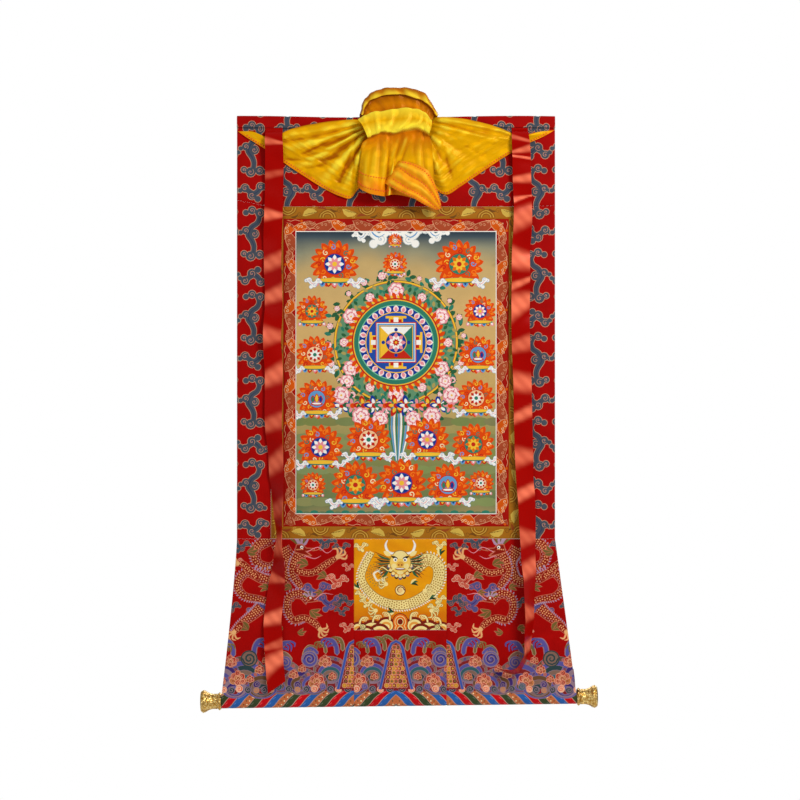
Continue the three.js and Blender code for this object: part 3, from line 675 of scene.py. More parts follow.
def cloud(draft, shape, x, z, flip=1, upside=1, fill=SLATE, edge=BEIGE, heart=PINK, size=1.0):
    def at(p):
        return (x + flip * p[0] * size, z + upside * p[1] * size)
    stem = [at(p) for p in shape["stem"]]
    draft.line(stem, 14.0 * size, edge, ends=(0.8, 0.8), steps=3)
    for u, v, r in shape["lobes"]:
        draft.disc(*at((u, v)), (r + 1.1) * size, edge, sides=12)
    draft.line(stem, 11.8 * size, fill, ends=(0.8, 0.8), steps=3)
    for u, v, r in shape["lobes"]:
        draft.disc(*at((u, v)), r * size, fill, sides=12)
    draft.line(
        [at(p) for p in shape["stem"][1:-1]], 2.4 * size, SLATE_BLUE if fill == SLATE else heart,
        ends=(0.3, 0.3), steps=2
    )
    for u, v, r, hand in shape["curls"]:
        draft.curl(*at((u, v)), r * size, edge, 1.1 * size, 1.2, 0.9 * hand, hand * flip * upside)
        draft.disc(*at((u, v)), 1.1 * size, heart, sides=6)


def cloud_field(draft, x_low, x_high, z_low, z_high):
    """Fills a box with the staggered repeat."""
    for column in range(math.floor(x_low / COLUMN) - 1, math.ceil(x_high / COLUMN) + 2):
        flip = 1 if column % 2 == 0 else -1
        x = column * COLUMN + 31
        for row in range(math.floor(z_low / REPEAT) - 1, math.ceil(z_high / REPEAT) + 2):
            z = row * REPEAT + (REPEAT // 2 if column % 2 else 0) + 18
            if x_low - 30 < x < x_high + 30 and z_low - 60 < z < z_high + 60:
                cloud(draft, TALL_CLOUD, x, z, flip)
            low = z - REPEAT // 2
            if x_low - 30 < x < x_high + 30 and z_low - 22 < low < z_high + 22:
                cloud(draft, SHORT_CLOUD, x + flip * 3, low, -flip, 1 if row % 2 else -1)


REVERSE_RED = dye(120, 30, 34)
PANEL_CLOTHS = [brocade, brocade_back]
SEAM = 0.14
TINY = GAP / 2 - SEAM
OUTLINE_STEP = 9

# %% Top panel


def curved_outline(left, right, top, bottom, spacing):
    """An outline whose top and bottom are functions of x, and whose sides are upright."""
    count = math.ceil((right - left) / spacing)
    xs = [left + (right - left) * i / count for i in range(count + 1)]
    lower = [(x, float(bottom(x))) for x in xs]
    upper = [(x, float(top(x))) for x in reversed(xs)]
    rise = math.ceil((upper[0][1] - lower[-1][1]) / spacing)
    right_side = [(right, lower[-1][1] + (upper[0][1] - lower[-1][1]) * i / rise) for i in range(1, rise)]
    left_side = [(left, upper[-1][1] + (lower[0][1] - upper[-1][1]) * i / rise) for i in range(1, rise)]
    return lower + right_side + upper + left_side


top_outline = curved_outline(
    -HALF_WIDTH, HALF_WIDTH, lambda x: top_edge(x) - 2.3, lambda x: side_seam(x) - SEAM, OUTLINE_STEP
)
top_draft = Draft()
cloud_field(top_draft, -HALF_WIDTH, HALF_WIDTH, GOLD_TOP, 0)
top_panel = woven(
    "top_panel_cloth", top_outline, top_draft, RED, laid_flat, BROCADE, 11, PANEL_CLOTHS, REVERSE_RED
)
hung(top_panel, "top_panel", top_outline)

# %% Side panels
for side, node in ((-1, "side_panel_left"), (1, "side_panel_right")):
    near, far = sorted((side * (GOLD_OUTER_X + GAP - SEAM), side * HALF_WIDTH))
    side_outline = curved_outline(
        near, far, lambda x: side_seam(x) - GAP, lambda x: GOLD_BOTTOM - SEAM, OUTLINE_STEP
    )
    side_draft = Draft()
    cloud_field(side_draft, near, far, GOLD_BOTTOM, GOLD_TOP + 13)
    panel = woven(
        f"{node}_cloth", side_outline, side_draft, RED, laid_flat, BROCADE, 10, PANEL_CLOTHS, REVERSE_RED
    )
    hung(panel, node, side_outline)

# %% [markdown]
# ## The heading
# A strip of the same brocade is folded over the top edge and sewn down, so the scroll can be
# hung. Its draft runs on over the fold: the flat height is read as a distance along the bent
# section of the strip, which lets one flat drawing cover the front, the fold and the back.

# %% A bent section and the heading cloth


def section(points):
    """Distances and outward normals along a line of (y, z) points that starts upwards in front."""
    line = np.array(points, float)
    step = np.diff(line, axis=0)
    length = np.concatenate([[0], np.cumsum(np.hypot(*step.T))])
    tangent = np.gradient(line, length, axis=0)
    tangent /= np.hypot(*tangent.T)[:, None]
    return length, line, np.stack([-tangent[:, 1], tangent[:, 0]], -1)


HEADING_CLOTH = 1.2
HEADING_DEPTH = 25
STRAIGHT_ROWS = (-HEADING_DEPTH, -18, -11, -5)
bend = [(-2.2 - 3.1 * math.cos(a), -2.6 + 2.0 * math.sin(a)) for a in np.linspace(0, math.pi, 13)]
heading_section = section([(-5.3, z) for z in STRAIGHT_ROWS] + bend + [(0.9, z) for z in STRAIGHT_ROWS[::-1]])


def on_heading(x, v, lift):
    length, line, normal = heading_section
    s = v + HEADING_DEPTH
    y, z = np.interp(s, length, line[:, 0]), np.interp(s, length, line[:, 1])
    ny, nz = np.interp(s, length, normal[:, 0]), np.interp(s, length, normal[:, 1])
    off = lift - HEADING_CLOTH / 2
    pucker = 0.35 * np.sin(x / 13.0) * np.sin(x / 47.0 + 1) * smooth(-s, -24, -4)
    return np.stack([x, y + (ny * off) - pucker, z + nz * off + top_edge(x)], -1)


heading_length = float(heading_section[0][-1])
heading_end = heading_length - HEADING_DEPTH
heading_outline = edge_points(box(-HALF_WIDTH, -HEADING_DEPTH, HALF_WIDTH, heading_end), 7)
heading_draft = Draft()
cloud_field(heading_draft, -HALF_WIDTH, HALF_WIDTH, -HEADING_DEPTH, 28)
fold_rows = [-HEADING_DEPTH + s for s in np.linspace(20, 36, 11)]
heading_cloth = woven(
    "heading_cloth", heading_outline, heading_draft, RED, on_heading, HEADING_CLOTH, 9, PANEL_CLOTHS,
    REVERSE_RED, fold_rows, dip=0.5
)
hung(heading_cloth, "heading", heading_outline)

# %% [markdown]
# ## The two borders
# An ochre strip and a red one frame the picture, each cut on the slant at its corners. Their
# leaves are drawn along a strip once and laid out on the four sides, starting at other places,
# so that the corners meet with the cut figures that real mitres show.

# %% Leaf brocades
PALE_GOLD = dye(204, 168, 70)
OCHRE = dye(160, 100, 16)
OCHRE_DARK = dye(108, 66, 14)
RUST = dye(146, 66, 20)
BORDER_RED = dye(160, 18, 8)
PETAL = dye(206, 84, 12)
WOOD_ROSE = dye(164, 70, 40)
PALE_ROSE = dye(222, 158, 116)
BORDER = 26
BORDER_REPEAT = 84


def gold_figure(draft, s, turn):
    up = 1 - 2 * turn
    draft.leaf(s, 13 - 7 * up, 32, 15, 0.3 * up, PALE_GOLD, 0.8, bend=0.15 * up)
    for k in range(4):
        draft.line(
            [
                (s + 5 + 6 * k, 12 - (5 - k) * up), (s + 11 + 6 * k, 13 - (3 - k) * up),
                (s + 15 + 6 * k, 13 - (1 - k) * up)
            ],
            0.8, OCHRE_DARK, 0.4, steps=2
        )
    for k in range(5):
        arch = [
            (s + 34 + 3 * k, 13 - 10 * up), (s + 38 + 2.4 * k, 13 - (1 + k) * up),
            (s + 53, 13 + (7 - 2.6 * k) * up), (s + 68 - 2.4 * k, 13 - (1 + k) * up),
            (s + 72 - 3 * k, 13 - 10 * up)
        ]
        draft.line(arch, 1.0, PALE_GOLD if k % 2 else OCHRE_DARK, 0.7 if k % 2 else 0.2, steps=4)
    draft.leaf(s + 30, 13 + 9 * up, 22, 6, -0.12 * up, RUST, 0.3, bend=-0.15)
    draft.leaf(s + 58, 13 + 9 * up, 18, 5, -0.3 * up, OCHRE_DARK, 0.2, bend=0.2)
    draft.curl(s + 78, 13 + 4 * up, 6.4, OCHRE_DARK, 1.0, 1.5, 0.4, up, 0.4)
    draft.curl(s + 24, 13 + 8 * up, 4.2, PALE_GOLD, 0.9, 1.3, 2.4, -up, 0.8)


def red_figure(draft, s, turn):
    for u, v, length, width, lean, fill in (
        (-4, 4 + 15 * turn, 50, 24, 0.3 - 0.6 * turn, WOOD_ROSE),
        (34, 24 - 21 * turn, 40, 22, -0.42 + 0.84 * turn, PETAL),
        (62, 6 + 14 * turn, 30, 16, 0.3 - 0.5 * turn, WOOD_ROSE),
    ):
        draft.leaf(s + u, v, length, width, lean, PALE_ROSE, 0.3, bend=0.12)
        draft.leaf(s + u + 1.0, v, length - 2.4, width - 2.0, lean, fill, 0.2, bend=0.12)
        for k in range(4):
            w, h = u + length * (0.2 + 0.17 * k), v + math.sin(lean) * length * (0.2 + 0.17 * k)
            draft.curl(
                s + w, h + 2 * (-1) ** k, 3.6, PALE_ROSE if fill == WOOD_ROSE else CREAM, 0.8, 1.2, 1.7 * k,
                (-1) ** k, 0.4
            )
    draft.line([(s + 26, 3), (s + 34, 5), (s + 42, 2.4), (s + 52, 4.6)], 1.0, PALE_ROSE, 0.3, steps=3)
    draft.line([(s + 58, 23), (s + 66, 21), (s + 76, 23.6)], 1.0, PALE_ROSE, 0.3, steps=3)
    draft.disc(s + 56, 5 + 15 * turn, 3.2, PETAL, 0.4, sides=8)


BORDERS = [
    ("gold", GOLD_OUTER_X, GOLD_TOP, GOLD_BOTTOM, OCHRE, gold_figure, dye(120, 92, 30)),
    (
        "red", GOLD_OUTER_X - BORDER, GOLD_TOP - BORDER, GOLD_BOTTOM + BORDER, BORDER_RED, red_figure,
        dye(126, 52, 34)
    ),
]
gold_brocade = fabric("gold_brocade_face", 0.5, 0.35, 0.0, thread=0.5, rib=0.3)
red_brocade = fabric("red_brocade_face", 0.6, 0.16, 0.0, thread=0.5, rib=0.35)

# %% Sewing the borders
for colour_name, half, top, bottom, ground, figure, back_colour in BORDERS:
    inner = half - BORDER
    strips = {
        "top": (
            [(-inner, top - BORDER), (inner, top - BORDER), (half, top), (-half, top)],
            lambda s, t: (-half + s, top - t), 17
        ),
        "bottom": (
            [(-half, bottom), (half, bottom), (inner, bottom + BORDER), (-inner, bottom + BORDER)],
            lambda s, t: (half - s, bottom + t), 48
        ),
        "left": (
            [(-half, bottom), (-inner, bottom + BORDER), (-inner, top - BORDER), (-half, top)],
            lambda s, t: (-half + t, bottom + s), 5
        ),
        "right": (
            [(inner, bottom + BORDER), (half, bottom), (half, top), (inner, top - BORDER)],
            lambda s, t: (half - t, top - s), 31
        ),
    }
    for side, (corners, layout, offset) in strips.items():
        middle = (sum(x for x, _ in corners) / 4, sum(z for _, z in corners) / 4)
        shrunk = [
            (x - math.copysign(TINY, x - middle[0]), z - math.copysign(TINY, z - middle[1]))
            for x, z in corners
        ]
        strip_outline = edge_points(shrunk, 8)
        strip = Draft(layout)
        length = abs(top - bottom) if side in ("left", "right") else 2 * half
        for count, s in enumerate(range(-offset, int(length), BORDER_REPEAT)):
            figure(strip, s, count % 2)
        cloth = gold_brocade if colour_name == "gold" else red_brocade
        node = f"{colour_name}_border_{side}"
        border = woven(
            f"{node}_cloth", strip_outline, strip, ground, laid_flat, BROCADE, 9, [cloth, brocade_back],
            back_colour
        )
        hung(border, node, strip_outline)

# %% [markdown]
# ## The picture cloth
# A thangka's centre is a painted cloth. This one holds a general design: a palace plan inside
# rings, peonies round it, flame wreaths with a lotus or three jewels in their hearts, and a lotus pond
# under a dusky sky. The ground fades from slate through ochre to green, so its colour is worked
# out at each corner of each triangle instead of being one dye.

# %% Sky, field and edge of the picture
PICTURE_HALF = 213
PICTURE_TOP = -242
PICTURE_BOTTOM = -842
PALACE_Z = -478
POND_Z = -612
GROUND_STOPS = [
    (-842, (150, 134, 88)), (-815, (104, 118, 76)), (-760, (122, 126, 74)), (-690, (140, 138, 84)),
    (-610, (186, 154, 92)), (-420, (206, 168, 106)), (-320, (190, 160, 104)), (-280, (140, 138, 112)),
    (-256, (70, 82, 88)), (-242, (36, 48, 60))
]


def picture_ground(x, z):
    heights = [h for h, _ in GROUND_STOPS]
    stops = np.array([dye(*c) for _, c in GROUND_STOPS])
    wander = 9 * np.sin(x / 41.0) + 6 * np.sin(x / 17.0 + 2)
    return np.stack(
        [np.interp(z + wander * smooth(-z, 250, 300), heights, stops[:, i]) for i in range(3)], -1
    )


LEAF_GREEN = dye(44, 92, 58)
DEEP_BLUE = dye(24, 56, 138)
SKY_BLUE = dye(96, 150, 196)
JADE = dye(48, 120, 96)
FLAME = dye(218, 70, 14)
FLAME_TIP = dye(236, 118, 28)
PEONY = dye(226, 138, 146)
PEONY_PALE = dye(246, 220, 214)
PALACE_RED = dye(188, 40, 24)
YELLOW = dye(236, 184, 52)

# %% Painted motifs


def ring_of(draft, x, z, count, near, far, width, colour, turn=0.0, twist=0.0, bend=0.0):
    for k in range(count):
        a = turn + 2 * math.pi * k / count
        draft.leaf(
            x + near * math.cos(a), z + near * math.sin(a), far - near, width, a + twist, colour, bend=bend
        )


def peony(draft, x, z, r, turn=0.0):
    ring_of(draft, x, z, 5, r * 0.5, r * 1.35, r * 0.5, LEAF_GREEN, turn + 0.4)
    for count, out, size, colour in (
        (7, 0.6, 0.42, PEONY), (6, 0.5, 0.36, PEONY_PALE), (5, 0.26, 0.32, PEONY),
        (4, 0.2, 0.24, PEONY_PALE)
    ):
        for k in range(count):
            a = turn + size + 2 * math.pi * k / count
            draft.disc(x + out * r * math.cos(a), z + out * r * math.sin(a), r * size, colour, sides=7)
    ring_of(draft, x, z, 5, r * 0.3, r * 0.8, r * 0.07, PALACE_RED, turn)
    draft.disc(x, z, r * 0.12, YELLOW, sides=6)


def lotus(draft, x, z, r, outer, inner, heart):
    ring_of(draft, x, z, 8, 0, r, r * 0.46, outer)
    ring_of(draft, x, z, 8, 0, r * 0.72, r * 0.34, inner, math.pi / 8)
    draft.disc(x, z, r * 0.26, heart, sides=10)


def jewels(draft, x, z, r, colour, edge):
    """Three drops side by side over a small bowl."""
    for u, lift, tone in ((-0.5, -0.1, JADE), (0.5, -0.1, DEEP_BLUE), (0, 0.15, colour)):
        draft.leaf(x + u * r, z - 0.5 * r, r * (1.1 + lift), r * 0.62, math.pi / 2, edge)
        draft.leaf(x + u * r, z - 0.44 * r, r * (0.9 + lift), r * 0.42, math.pi / 2, tone)
    draft.disc(x, z - 0.62 * r, r * 0.8, edge, sides=14, squash=0.3)
    draft.disc(x, z - 0.58 * r, r * 0.6, WHITE, sides=14, squash=0.2)


def wreath(draft, x, z, r, kind, turn=0.0):
    """A round of flames on a lotus seat, with a lotus or three jewels in its heart."""
    ring_of(draft, x, z, 17, r * 0.66, r * 1.16, r * 0.32, FLAME, turn, 0.6, 0.12)
    ring_of(draft, x, z, 17, r * 0.66, r * 1.0, r * 0.16, FLAME_TIP, turn + 0.1, 0.55, 0.12)
    draft.disc(x, z, r * 0.78, FLAME, sides=22)
    for k in range(14):
        a = turn + 2.4 * k
        colour = (CREAM, YELLOW, JADE, PALACE_RED, FLAME_TIP, SKY_BLUE)[k % 6]
        out = r * (0.52 + 0.022 * k)
        draft.curl(
            x + out * math.cos(a), z + out * math.sin(a), r * 0.13, colour, r * 0.05, 1.1, a, (-1) ** k
        )
    draft.disc(x, z, r * 0.5, PALACE_RED, sides=22)
    draft.disc(x, z, r * 0.46, (DEEP_BLUE, JADE, SKY_BLUE, dye(240, 190, 140))[kind], sides=22)
    if kind == 2:
        jewels(draft, x, z, r * 0.42, YELLOW, PALACE_RED)
    else:
        lotus(
            draft, x, z, r * 0.43, (WHITE, ORANGE, WHITE, PALACE_RED)[kind],
            (PEONY, YELLOW, PEONY, WHITE)[kind], (YELLOW, PALACE_RED, YELLOW, JADE)[kind]
        )
    for k in range(7):
        u = (k - 3) * 0.26 * r
        draft.leaf(
            x + u, z - r * 0.74, r * 0.3, r * 0.26, -math.pi / 2 + 0.12 * (k - 3),
            (PEONY, SKY_BLUE, PALACE_RED)[k % 3]
        )
        draft.leaf(
            x + u, z - r * 0.76, r * 0.2, r * 0.12, -math.pi / 2 + 0.12 * (k - 3),
            (WHITE, DEEP_BLUE, YELLOW)[k % 3]
        )
    draft.disc(x, z - r * 0.74, r * 0.86, JADE, sides=20, squash=0.15)
    draft.disc(x, z - r * 0.72, r * 0.78, YELLOW, sides=20, squash=0.12)


def palace(draft, x, z):
    """A plan of a square palace with four gates, inside rings of petals."""
    ring_of(draft, x, z, 44, 92, 108, 9, FLAME, 0, 0.5)
    ring_of(draft, x, z, 44, 92, 102, 5, YELLOW, 0.07, 0.5)
    for radius, colour in (
        (94, PALACE_RED), (91, YELLOW), (89, JADE), (80, dye(120, 190, 150)), (78, DEEP_BLUE)
    ):
        draft.disc(x, z, radius, colour, sides=64)
    ring_of(draft, x, z, 28, 64, 79, 12, PEONY_PALE)
    ring_of(draft, x, z, 28, 65, 76, 7, PEONY)
    draft.disc(x, z, 65, YELLOW, sides=48)
    draft.disc(x, z, 63, dye(34, 74, 156), sides=48)
    for quarter in range(4):
        a = quarter * math.pi / 2
        c, s = round(math.cos(a)), round(math.sin(a))

        def turned(points):
            return [(x + u * c - v * s, z + u * s + v * c) for u, v in points]
        draft.area(
            turned([(-15, 40), (15, 40), (15, 51), (22, 51), (22, 56), (-22, 56), (-22, 51), (-15, 51)]),
            YELLOW
        )
        draft.area(turned([(-12, 40), (12, 40), (12, 49), (-12, 49)]), PALACE_RED)
        draft.area(turned([(-5, 40), (5, 40), (5, 53), (-5, 53)]), WHITE)
    for half_side, colour in ((43, PALACE_RED), (41, WHITE), (39.5, SKY_BLUE), (36, YELLOW), (34.5, INK)):
        draft.area(box(x - half_side, z - half_side, x + half_side, z + half_side), colour)
    for quarter, colour in enumerate((WHITE, YELLOW, PALACE_RED, JADE)):
        a = math.pi / 4 + quarter * math.pi / 2
        draft.area(
            [
                (x, z), (x + 47.5 * math.cos(a), z + 47.5 * math.sin(a)),
                (x + 47.5 * math.cos(a + math.pi / 2), z + 47.5 * math.sin(a + math.pi / 2))
            ],
            colour
        )
        b = a + math.pi / 4
        draft.disc(x + 27 * math.cos(b), z + 27 * math.sin(b), 4, DEEP_BLUE, sides=8)
    draft.disc(x, z, 23, YELLOW, sides=32)
    draft.disc(x, z, 21.5, DEEP_BLUE, sides=32)
    lotus(draft, x, z, 21, PEONY, WHITE, YELLOW)
    ring_of(draft, x, z, 8, 2, 8, 4, PALACE_RED, 0.3)


print("motifs: peony, lotus, jewels, wreath and palace")

# %% The picture's layout
picture_draft = Draft()
chance = random.Random(7)
for x, z, size in ((-36, -251, 1.3), (30, -252, 1.2), (84, -250, 0.9), (-74, -254, 0.6)):
    cloud(
        picture_draft, SHORT_CLOUD, x, z, chance.choice((1, -1)), 1, WHITE, dye(180, 190, 190), SKY_BLUE,
        size
    )
for row in range(6):
    for k in range(13):
        shade = dye(*(int(c + 8 * (row % 2) + chance.randint(-6, 6)) for c in (124, 128, 78)))
        picture_draft.disc(-210 + 35 * k + 17 * (row % 2), -646 - 34 * row, 24, shade, sides=12, squash=0.4)
for k in range(9):
    picture_draft.line(
        [(-10 + 4 * k, -606), (-14 + 5 * k, -660), (-2 + 1.6 * k, -728)], 3.4,
        (JADE, SKY_BLUE, WHITE)[k % 3], ends=(1, 0.4), steps=5
    )
for k in range(130):
    a, out = 2.4 * k, 148 - 0.2 * k
    lean = chance.uniform(0, 6.28)
    picture_draft.leaf(
        out * math.cos(a), PALACE_Z + out * math.sin(a), 16, 9, lean, LEAF_GREEN if k % 3 else JADE
    )
for k in range(22):
    a = 0.28 * k + 0.1
    peony(picture_draft, 144 * math.cos(a), PALACE_Z + 144 * math.sin(a), chance.uniform(5, 9), a)
for radius, colour in ((132, INK), (131, YELLOW), (127.5, PALACE_RED), (126.5, dye(96, 140, 104))):
    picture_draft.disc(0, PALACE_Z, radius, colour, sides=80)
for k in range(140):
    a, out = 2.4 * k, 96 + 0.2 * k
    picture_draft.leaf(
        out * math.cos(a), PALACE_Z + out * math.sin(a), 12, 7, a + chance.uniform(-1, 1),
        (LEAF_GREEN, JADE, dye(168, 150, 84))[k % 3]
    )
for k in range(12):
    a = math.pi / 2 + 2 * math.pi * k / 12
    peony(picture_draft, 110 * math.cos(a), PALACE_Z + 110 * math.sin(a), 18 if k % 2 == 0 else 10, a)
palace(picture_draft, 0, PALACE_Z)
for k in range(11):
    u = (k - 5) * 23
    ring_of(
        picture_draft, u, POND_Z, 5, 4, 25 - 0.9 * abs(k - 5), 12, (DEEP_BLUE, JADE, PALACE_RED)[k % 3],
        0.55, 0.0
    )
    ring_of(picture_draft, u, POND_Z, 5, 3, 16, 7, (WHITE, PEONY, YELLOW)[k % 3], 0.55, 0.0)
    picture_draft.disc(u, POND_Z, 5.5, (PALACE_RED, FLAME, PALACE_RED)[k % 3], sides=9)
for x, z, r in (
    (-74, -634, 20), (-34, -640, 18), (76, -634, 20), (36, -640, 18), (-104, -560, 15), (104, -560, 15),
    (-116, -590, 20), (118, -590, 20)
):
    peony(picture_draft, x, z, r, x)
WREATHS = [
    (-2, -262, 14, 3), (-2, -312, 24, 3), (-130, -312, 47, 0), (134, -312, 47, 1), (-178, -412, 31, 1),
    (178, -412, 31, 0), (-172, -504, 37, 3), (174, -504, 37, 2), (-168, -598, 39, 2), (170, -596, 37, 3),
    (-58, -684, 43, 3), (66, -684, 43, 0), (-160, -700, 44, 0), (164, -694, 41, 1), (-86, -780, 47, 1),
    (110, -780, 42, 2), (-176, -780, 25, 3), (180, -776, 25, 3), (12, -776, 48, 0),
]
for k, (x, z, r, kind) in enumerate(WREATHS):
    wreath(picture_draft, x, z, r, kind, 0.2 * k)
    for side in (-1, 1) if r > 34 else ():
        cloud(
            picture_draft, SHORT_CLOUD, x + side * r * 0.96, z - r * 0.86, side, 1, WHITE, SKY_BLUE, PEONY,
            0.012 * r
        )
for k in range(26):
    picture_draft.disc(
        -206 + 16.5 * k, -838 - 2 * (k % 2), 9, (JADE, dye(96, 118, 84))[k % 2], sides=10, squash=0.5
    )
for a, b, c, d in (
    (-213, -242, 213, -243.8), (-213, -840.2, 213, -842), (-213, -842, -211.4, -242),
    (211.4, -842, 213, -242)
):
    picture_draft.area([(a, b), (c, b), (c, d), (a, d)], WHITE)
picture_outline = edge_points(box(-PICTURE_HALF, PICTURE_BOTTOM, PICTURE_HALF, PICTURE_TOP), 10)
painted = fabric("painted_cloth_face", 0.7, 0.12, 0.0, thread=0.7, rib=0.16, fade=0.06)
painted_back = fabric("painted_cloth_reverse", 0.9, 0.08, 0.05, thread=0.7, rib=0.5, fade=0.12)
picture_cloth = woven(
    "picture_cloth_painted", picture_outline, picture_draft, picture_ground, laid_flat, BROCADE, 11,
    [painted, painted_back], dye(206, 190, 158)
)
hung(picture_cloth, "picture_cloth", picture_outline)

# %% [markdown]
# ## The door panel
# A square of yellow satin is let into the mount under the picture. Its coiled dragon faces out,
# with scales, a mane, pale horns and a pearl under the chin, over a small sea. A woven dragon is
# one thick line with a dark edge and rows of scales, so one helper serves all of them.

# %% A woven dragon's body, foot and sea swell
TAPER = 0.62
SWELL_SIDES = 26


def along(path_points, spacing):
    """Points at an even spacing on a smooth line, with their normals and their share of it."""
    path = np.array(flow(path_points, 8))
    length = np.concatenate([[0], np.cumsum(np.hypot(*np.diff(path, axis=0).T))])
    marks = np.arange(spacing / 2, length[-1], spacing)
    spots = np.stack([np.interp(marks, length, path[:, i]) for i in (0, 1)], -1)
    ahead = np.stack([np.interp(marks + 0.5, length, path[:, i]) for i in (0, 1)], -1) - spots
    ahead /= np.maximum(np.hypot(*ahead.T), 1e-6)[:, None]
    return spots, np.stack([-ahead[:, 1], ahead[:, 0]], -1), marks / length[-1]


def dragon_body(draft, spine, width, edge, skin, scale, ridge, belly=None, hand=1):
    spots, normals, shares = along(spine, 4.6)
    for k in range(len(spots)):
        half = width * 0.5 * (1 - TAPER * shares[k])
        foot = spots[k] + normals[k] * half * hand
        lean = math.atan2(normals[k][1] * hand, normals[k][0] * hand)
        draft.leaf(foot[0], foot[1], 6.5, 3, lean + 0.5, ridge, 0.3)
    path = flow(spine, 6)
    for extra, colour in ((2.6, edge), (0, skin)):
        left, right = [], []
        for i, p in enumerate(path):
            run = path[min(i + 1, len(path) - 1)] - path[max(i - 1, 0)]
            run = run / max(np.hypot(*run), 1e-6)
            half = width * 0.5 * (1 - TAPER * i / (len(path) - 1)) + extra / 2
            left.append((p[0] - run[1] * half, p[1] + run[0] * half))
            right.append((p[0] + run[1] * half, p[1] - run[0] * half))
        draft.area(left + right[::-1], colour, 0.4)
    spots, normals, shares = along(spine, 5.2)
    for k in range(len(spots)):
        half = width * 0.5 * (1 - TAPER * shares[k])
        count = max(2, round(half / 2.7))
        for i in range(count):
            row = 2 * (i + 0.3 + 0.4 * (k % 2)) / count - 1
            p = spots[k] + normals[k] * half * row * 0.9
            draft.disc(
                p[0], p[1], 1.75, belly if row * hand < -0.5 and belly is not None else scale, 0.7, sides=6
            )


def foot(draft, x, z, lean, size, colour, edge):
    for spread in (-1.1, -0.45, 0.2, 0.85):
        a = lean + spread
        tip = (x + size * math.cos(a), z + size * math.sin(a))
        bent = (x + size * 1.25 * math.cos(a - 0.5), z + size * 1.25 * math.sin(a - 0.5))
        draft.line([(x, z), tip, bent], size * 0.34, edge, steps=3, ends=(0.8, 0.3))
        draft.line([(x, z), tip, bent], size * 0.2, colour, steps=3, ends=(0.8, 0.3))
    draft.disc(x, z, size * 0.34, colour, sides=9)


def swell(draft, x, z, r, colours, squash=0.8, rim=None):
    """Rings of a wave, from the outside in, each with its own thin rim."""
    for k, colour in enumerate(colours):
        for extra, shade in ((1.0, rim), (0, colour)):
            if shade is not None:
                draft.disc(
                    x, z - 0.09 * r * k, r * (1 - k / len(colours)) + extra, shade,
                    sides=max(10, SWELL_SIDES - 3 * k), squash=squash
                )


def spiral(draft, x, z, r, fill, edge, hand=1, turns=1.6, start=0.0):
    draft.disc(x, z, r, edge, sides=16)
    draft.disc(x, z, r * 0.86, fill, sides=16)
    draft.curl(x, z, r * 0.78, edge, r * 0.2, turns, start, hand)


def turned_grid(x, z, size, lean, hand=1):
    """Places marks drawn on a unit grid, which is mirrored by hand and turned by lean."""
    cos, sin = math.cos(lean), math.sin(lean)

    def at(u, v):
        return (x + size * (u * hand * cos - v * sin), z + size * (u * hand * sin + v * cos))
    return at


def claw(draft, x, z, size, lean, hand, colour, edge):
    """A crest of foam, bent over, with small fingers on its inner side."""
    at = turned_grid(x, z, size, lean, hand)
    crest = [at(0, 0), at(0.06, 0.42), at(0.3, 0.78), at(0.72, 0.92)]
    draft.line(crest, size * 0.34, edge, steps=4, ends=(1, 0.25))
    for u, v, du, dv in (
        (0.2, 0.5, 0.26, -0.04), (0.36, 0.72, 0.22, -0.14), (0.56, 0.84, 0.2, -0.2),
        (0.74, 0.9, 0.22, -0.12)
    ):
        draft.line(
            [at(u, v), at(u + du, v + dv), at(u + du * 0.9, v + dv * 2.6)], size * 0.12, colour, steps=2,
            ends=(1, 0.4)
        )
    draft.line(crest, size * 0.22, colour, steps=4, ends=(1, 0.25))


print("helpers: dragon body, foot, swell, spiral, claw")

# %% The dragon on the door
DOOR_X = 9
DOOR_LEFT = -89
DOOR_RIGHT = 107
DOOR_BOTTOM = -1087
DOOR_HEIGHT = 193
YOLK = dye(230, 154, 6)
DEEP_YOLK = dye(208, 104, 4)
SCALE_CREAM = dye(240, 216, 140)
SCALE_DARK = dye(150, 118, 58)
MANE = dye(40, 58, 34)
MAROON = dye(120, 30, 14)


def door_ground(x, z):
    streak = 0.5 + 0.5 * np.sin(z / 7.0 + 2.2 * np.sin(x / 37.0)) * np.sin(x / 29.0 + z / 53.0)
    warm = np.clip(0.75 * smooth(-z, 1010, 1075) + 0.35 * streak, 0, 1)[:, None]
    return np.array(YOLK) * (1 - warm) + np.array(DEEP_YOLK) * warm


door_draft = Draft(lambda u, z: (DOOR_X + u, z))
for u, z, flip in (
    (-80, -1012, 1), (-70, -1030, -1), (82, -1022, -1), (74, -1040, 1), (-84, -912, 1), (84, -908, -1)
):
    cloud(door_draft, SHORT_CLOUD, u, z, flip, 1, SCALE_CREAM, MANE, ORANGE, 0.5)
COIL = [
    (30, -957), (58, -938), (81, -954), (76, -992), (44, -1020), (6, -1034), (-34, -1028), (-64, -1008),
    (-82, -978), (-74, -948), (-60, -922)
]
LOOP = [(-28, -958), (-50, -950), (-66, -968), (-52, -990), (-30, -984), (-34, -966)]
for spine, width in ((LOOP, 20), (COIL, 27)):
    dragon_body(
        door_draft, spine, width, SCALE_DARK, SCALE_CREAM, dye(170, 124, 50), dye(234, 228, 200), hand=1
    )
for u, z, lean in ((60, -1022, 0.4), (-12, -1050, 2.8), (84, -930, 1.2), (-86, -1000, 2.2), (22, -990, 0.2)):
    for spread, colour in ((-0.4, MANE), (0.1, LEAF_GREEN), (0.5, SCALE_CREAM)):
        door_draft.leaf(u, z, 17, 5, lean + spread, colour, bend=0.14)
for u, z, lean in ((52, -1004, 0.3), (-30, -990, 3.0), (66, -1046, -0.4), (-52, -1046, 3.6)):
    foot(door_draft, u, z, lean, 13, SCALE_CREAM, SCALE_DARK)
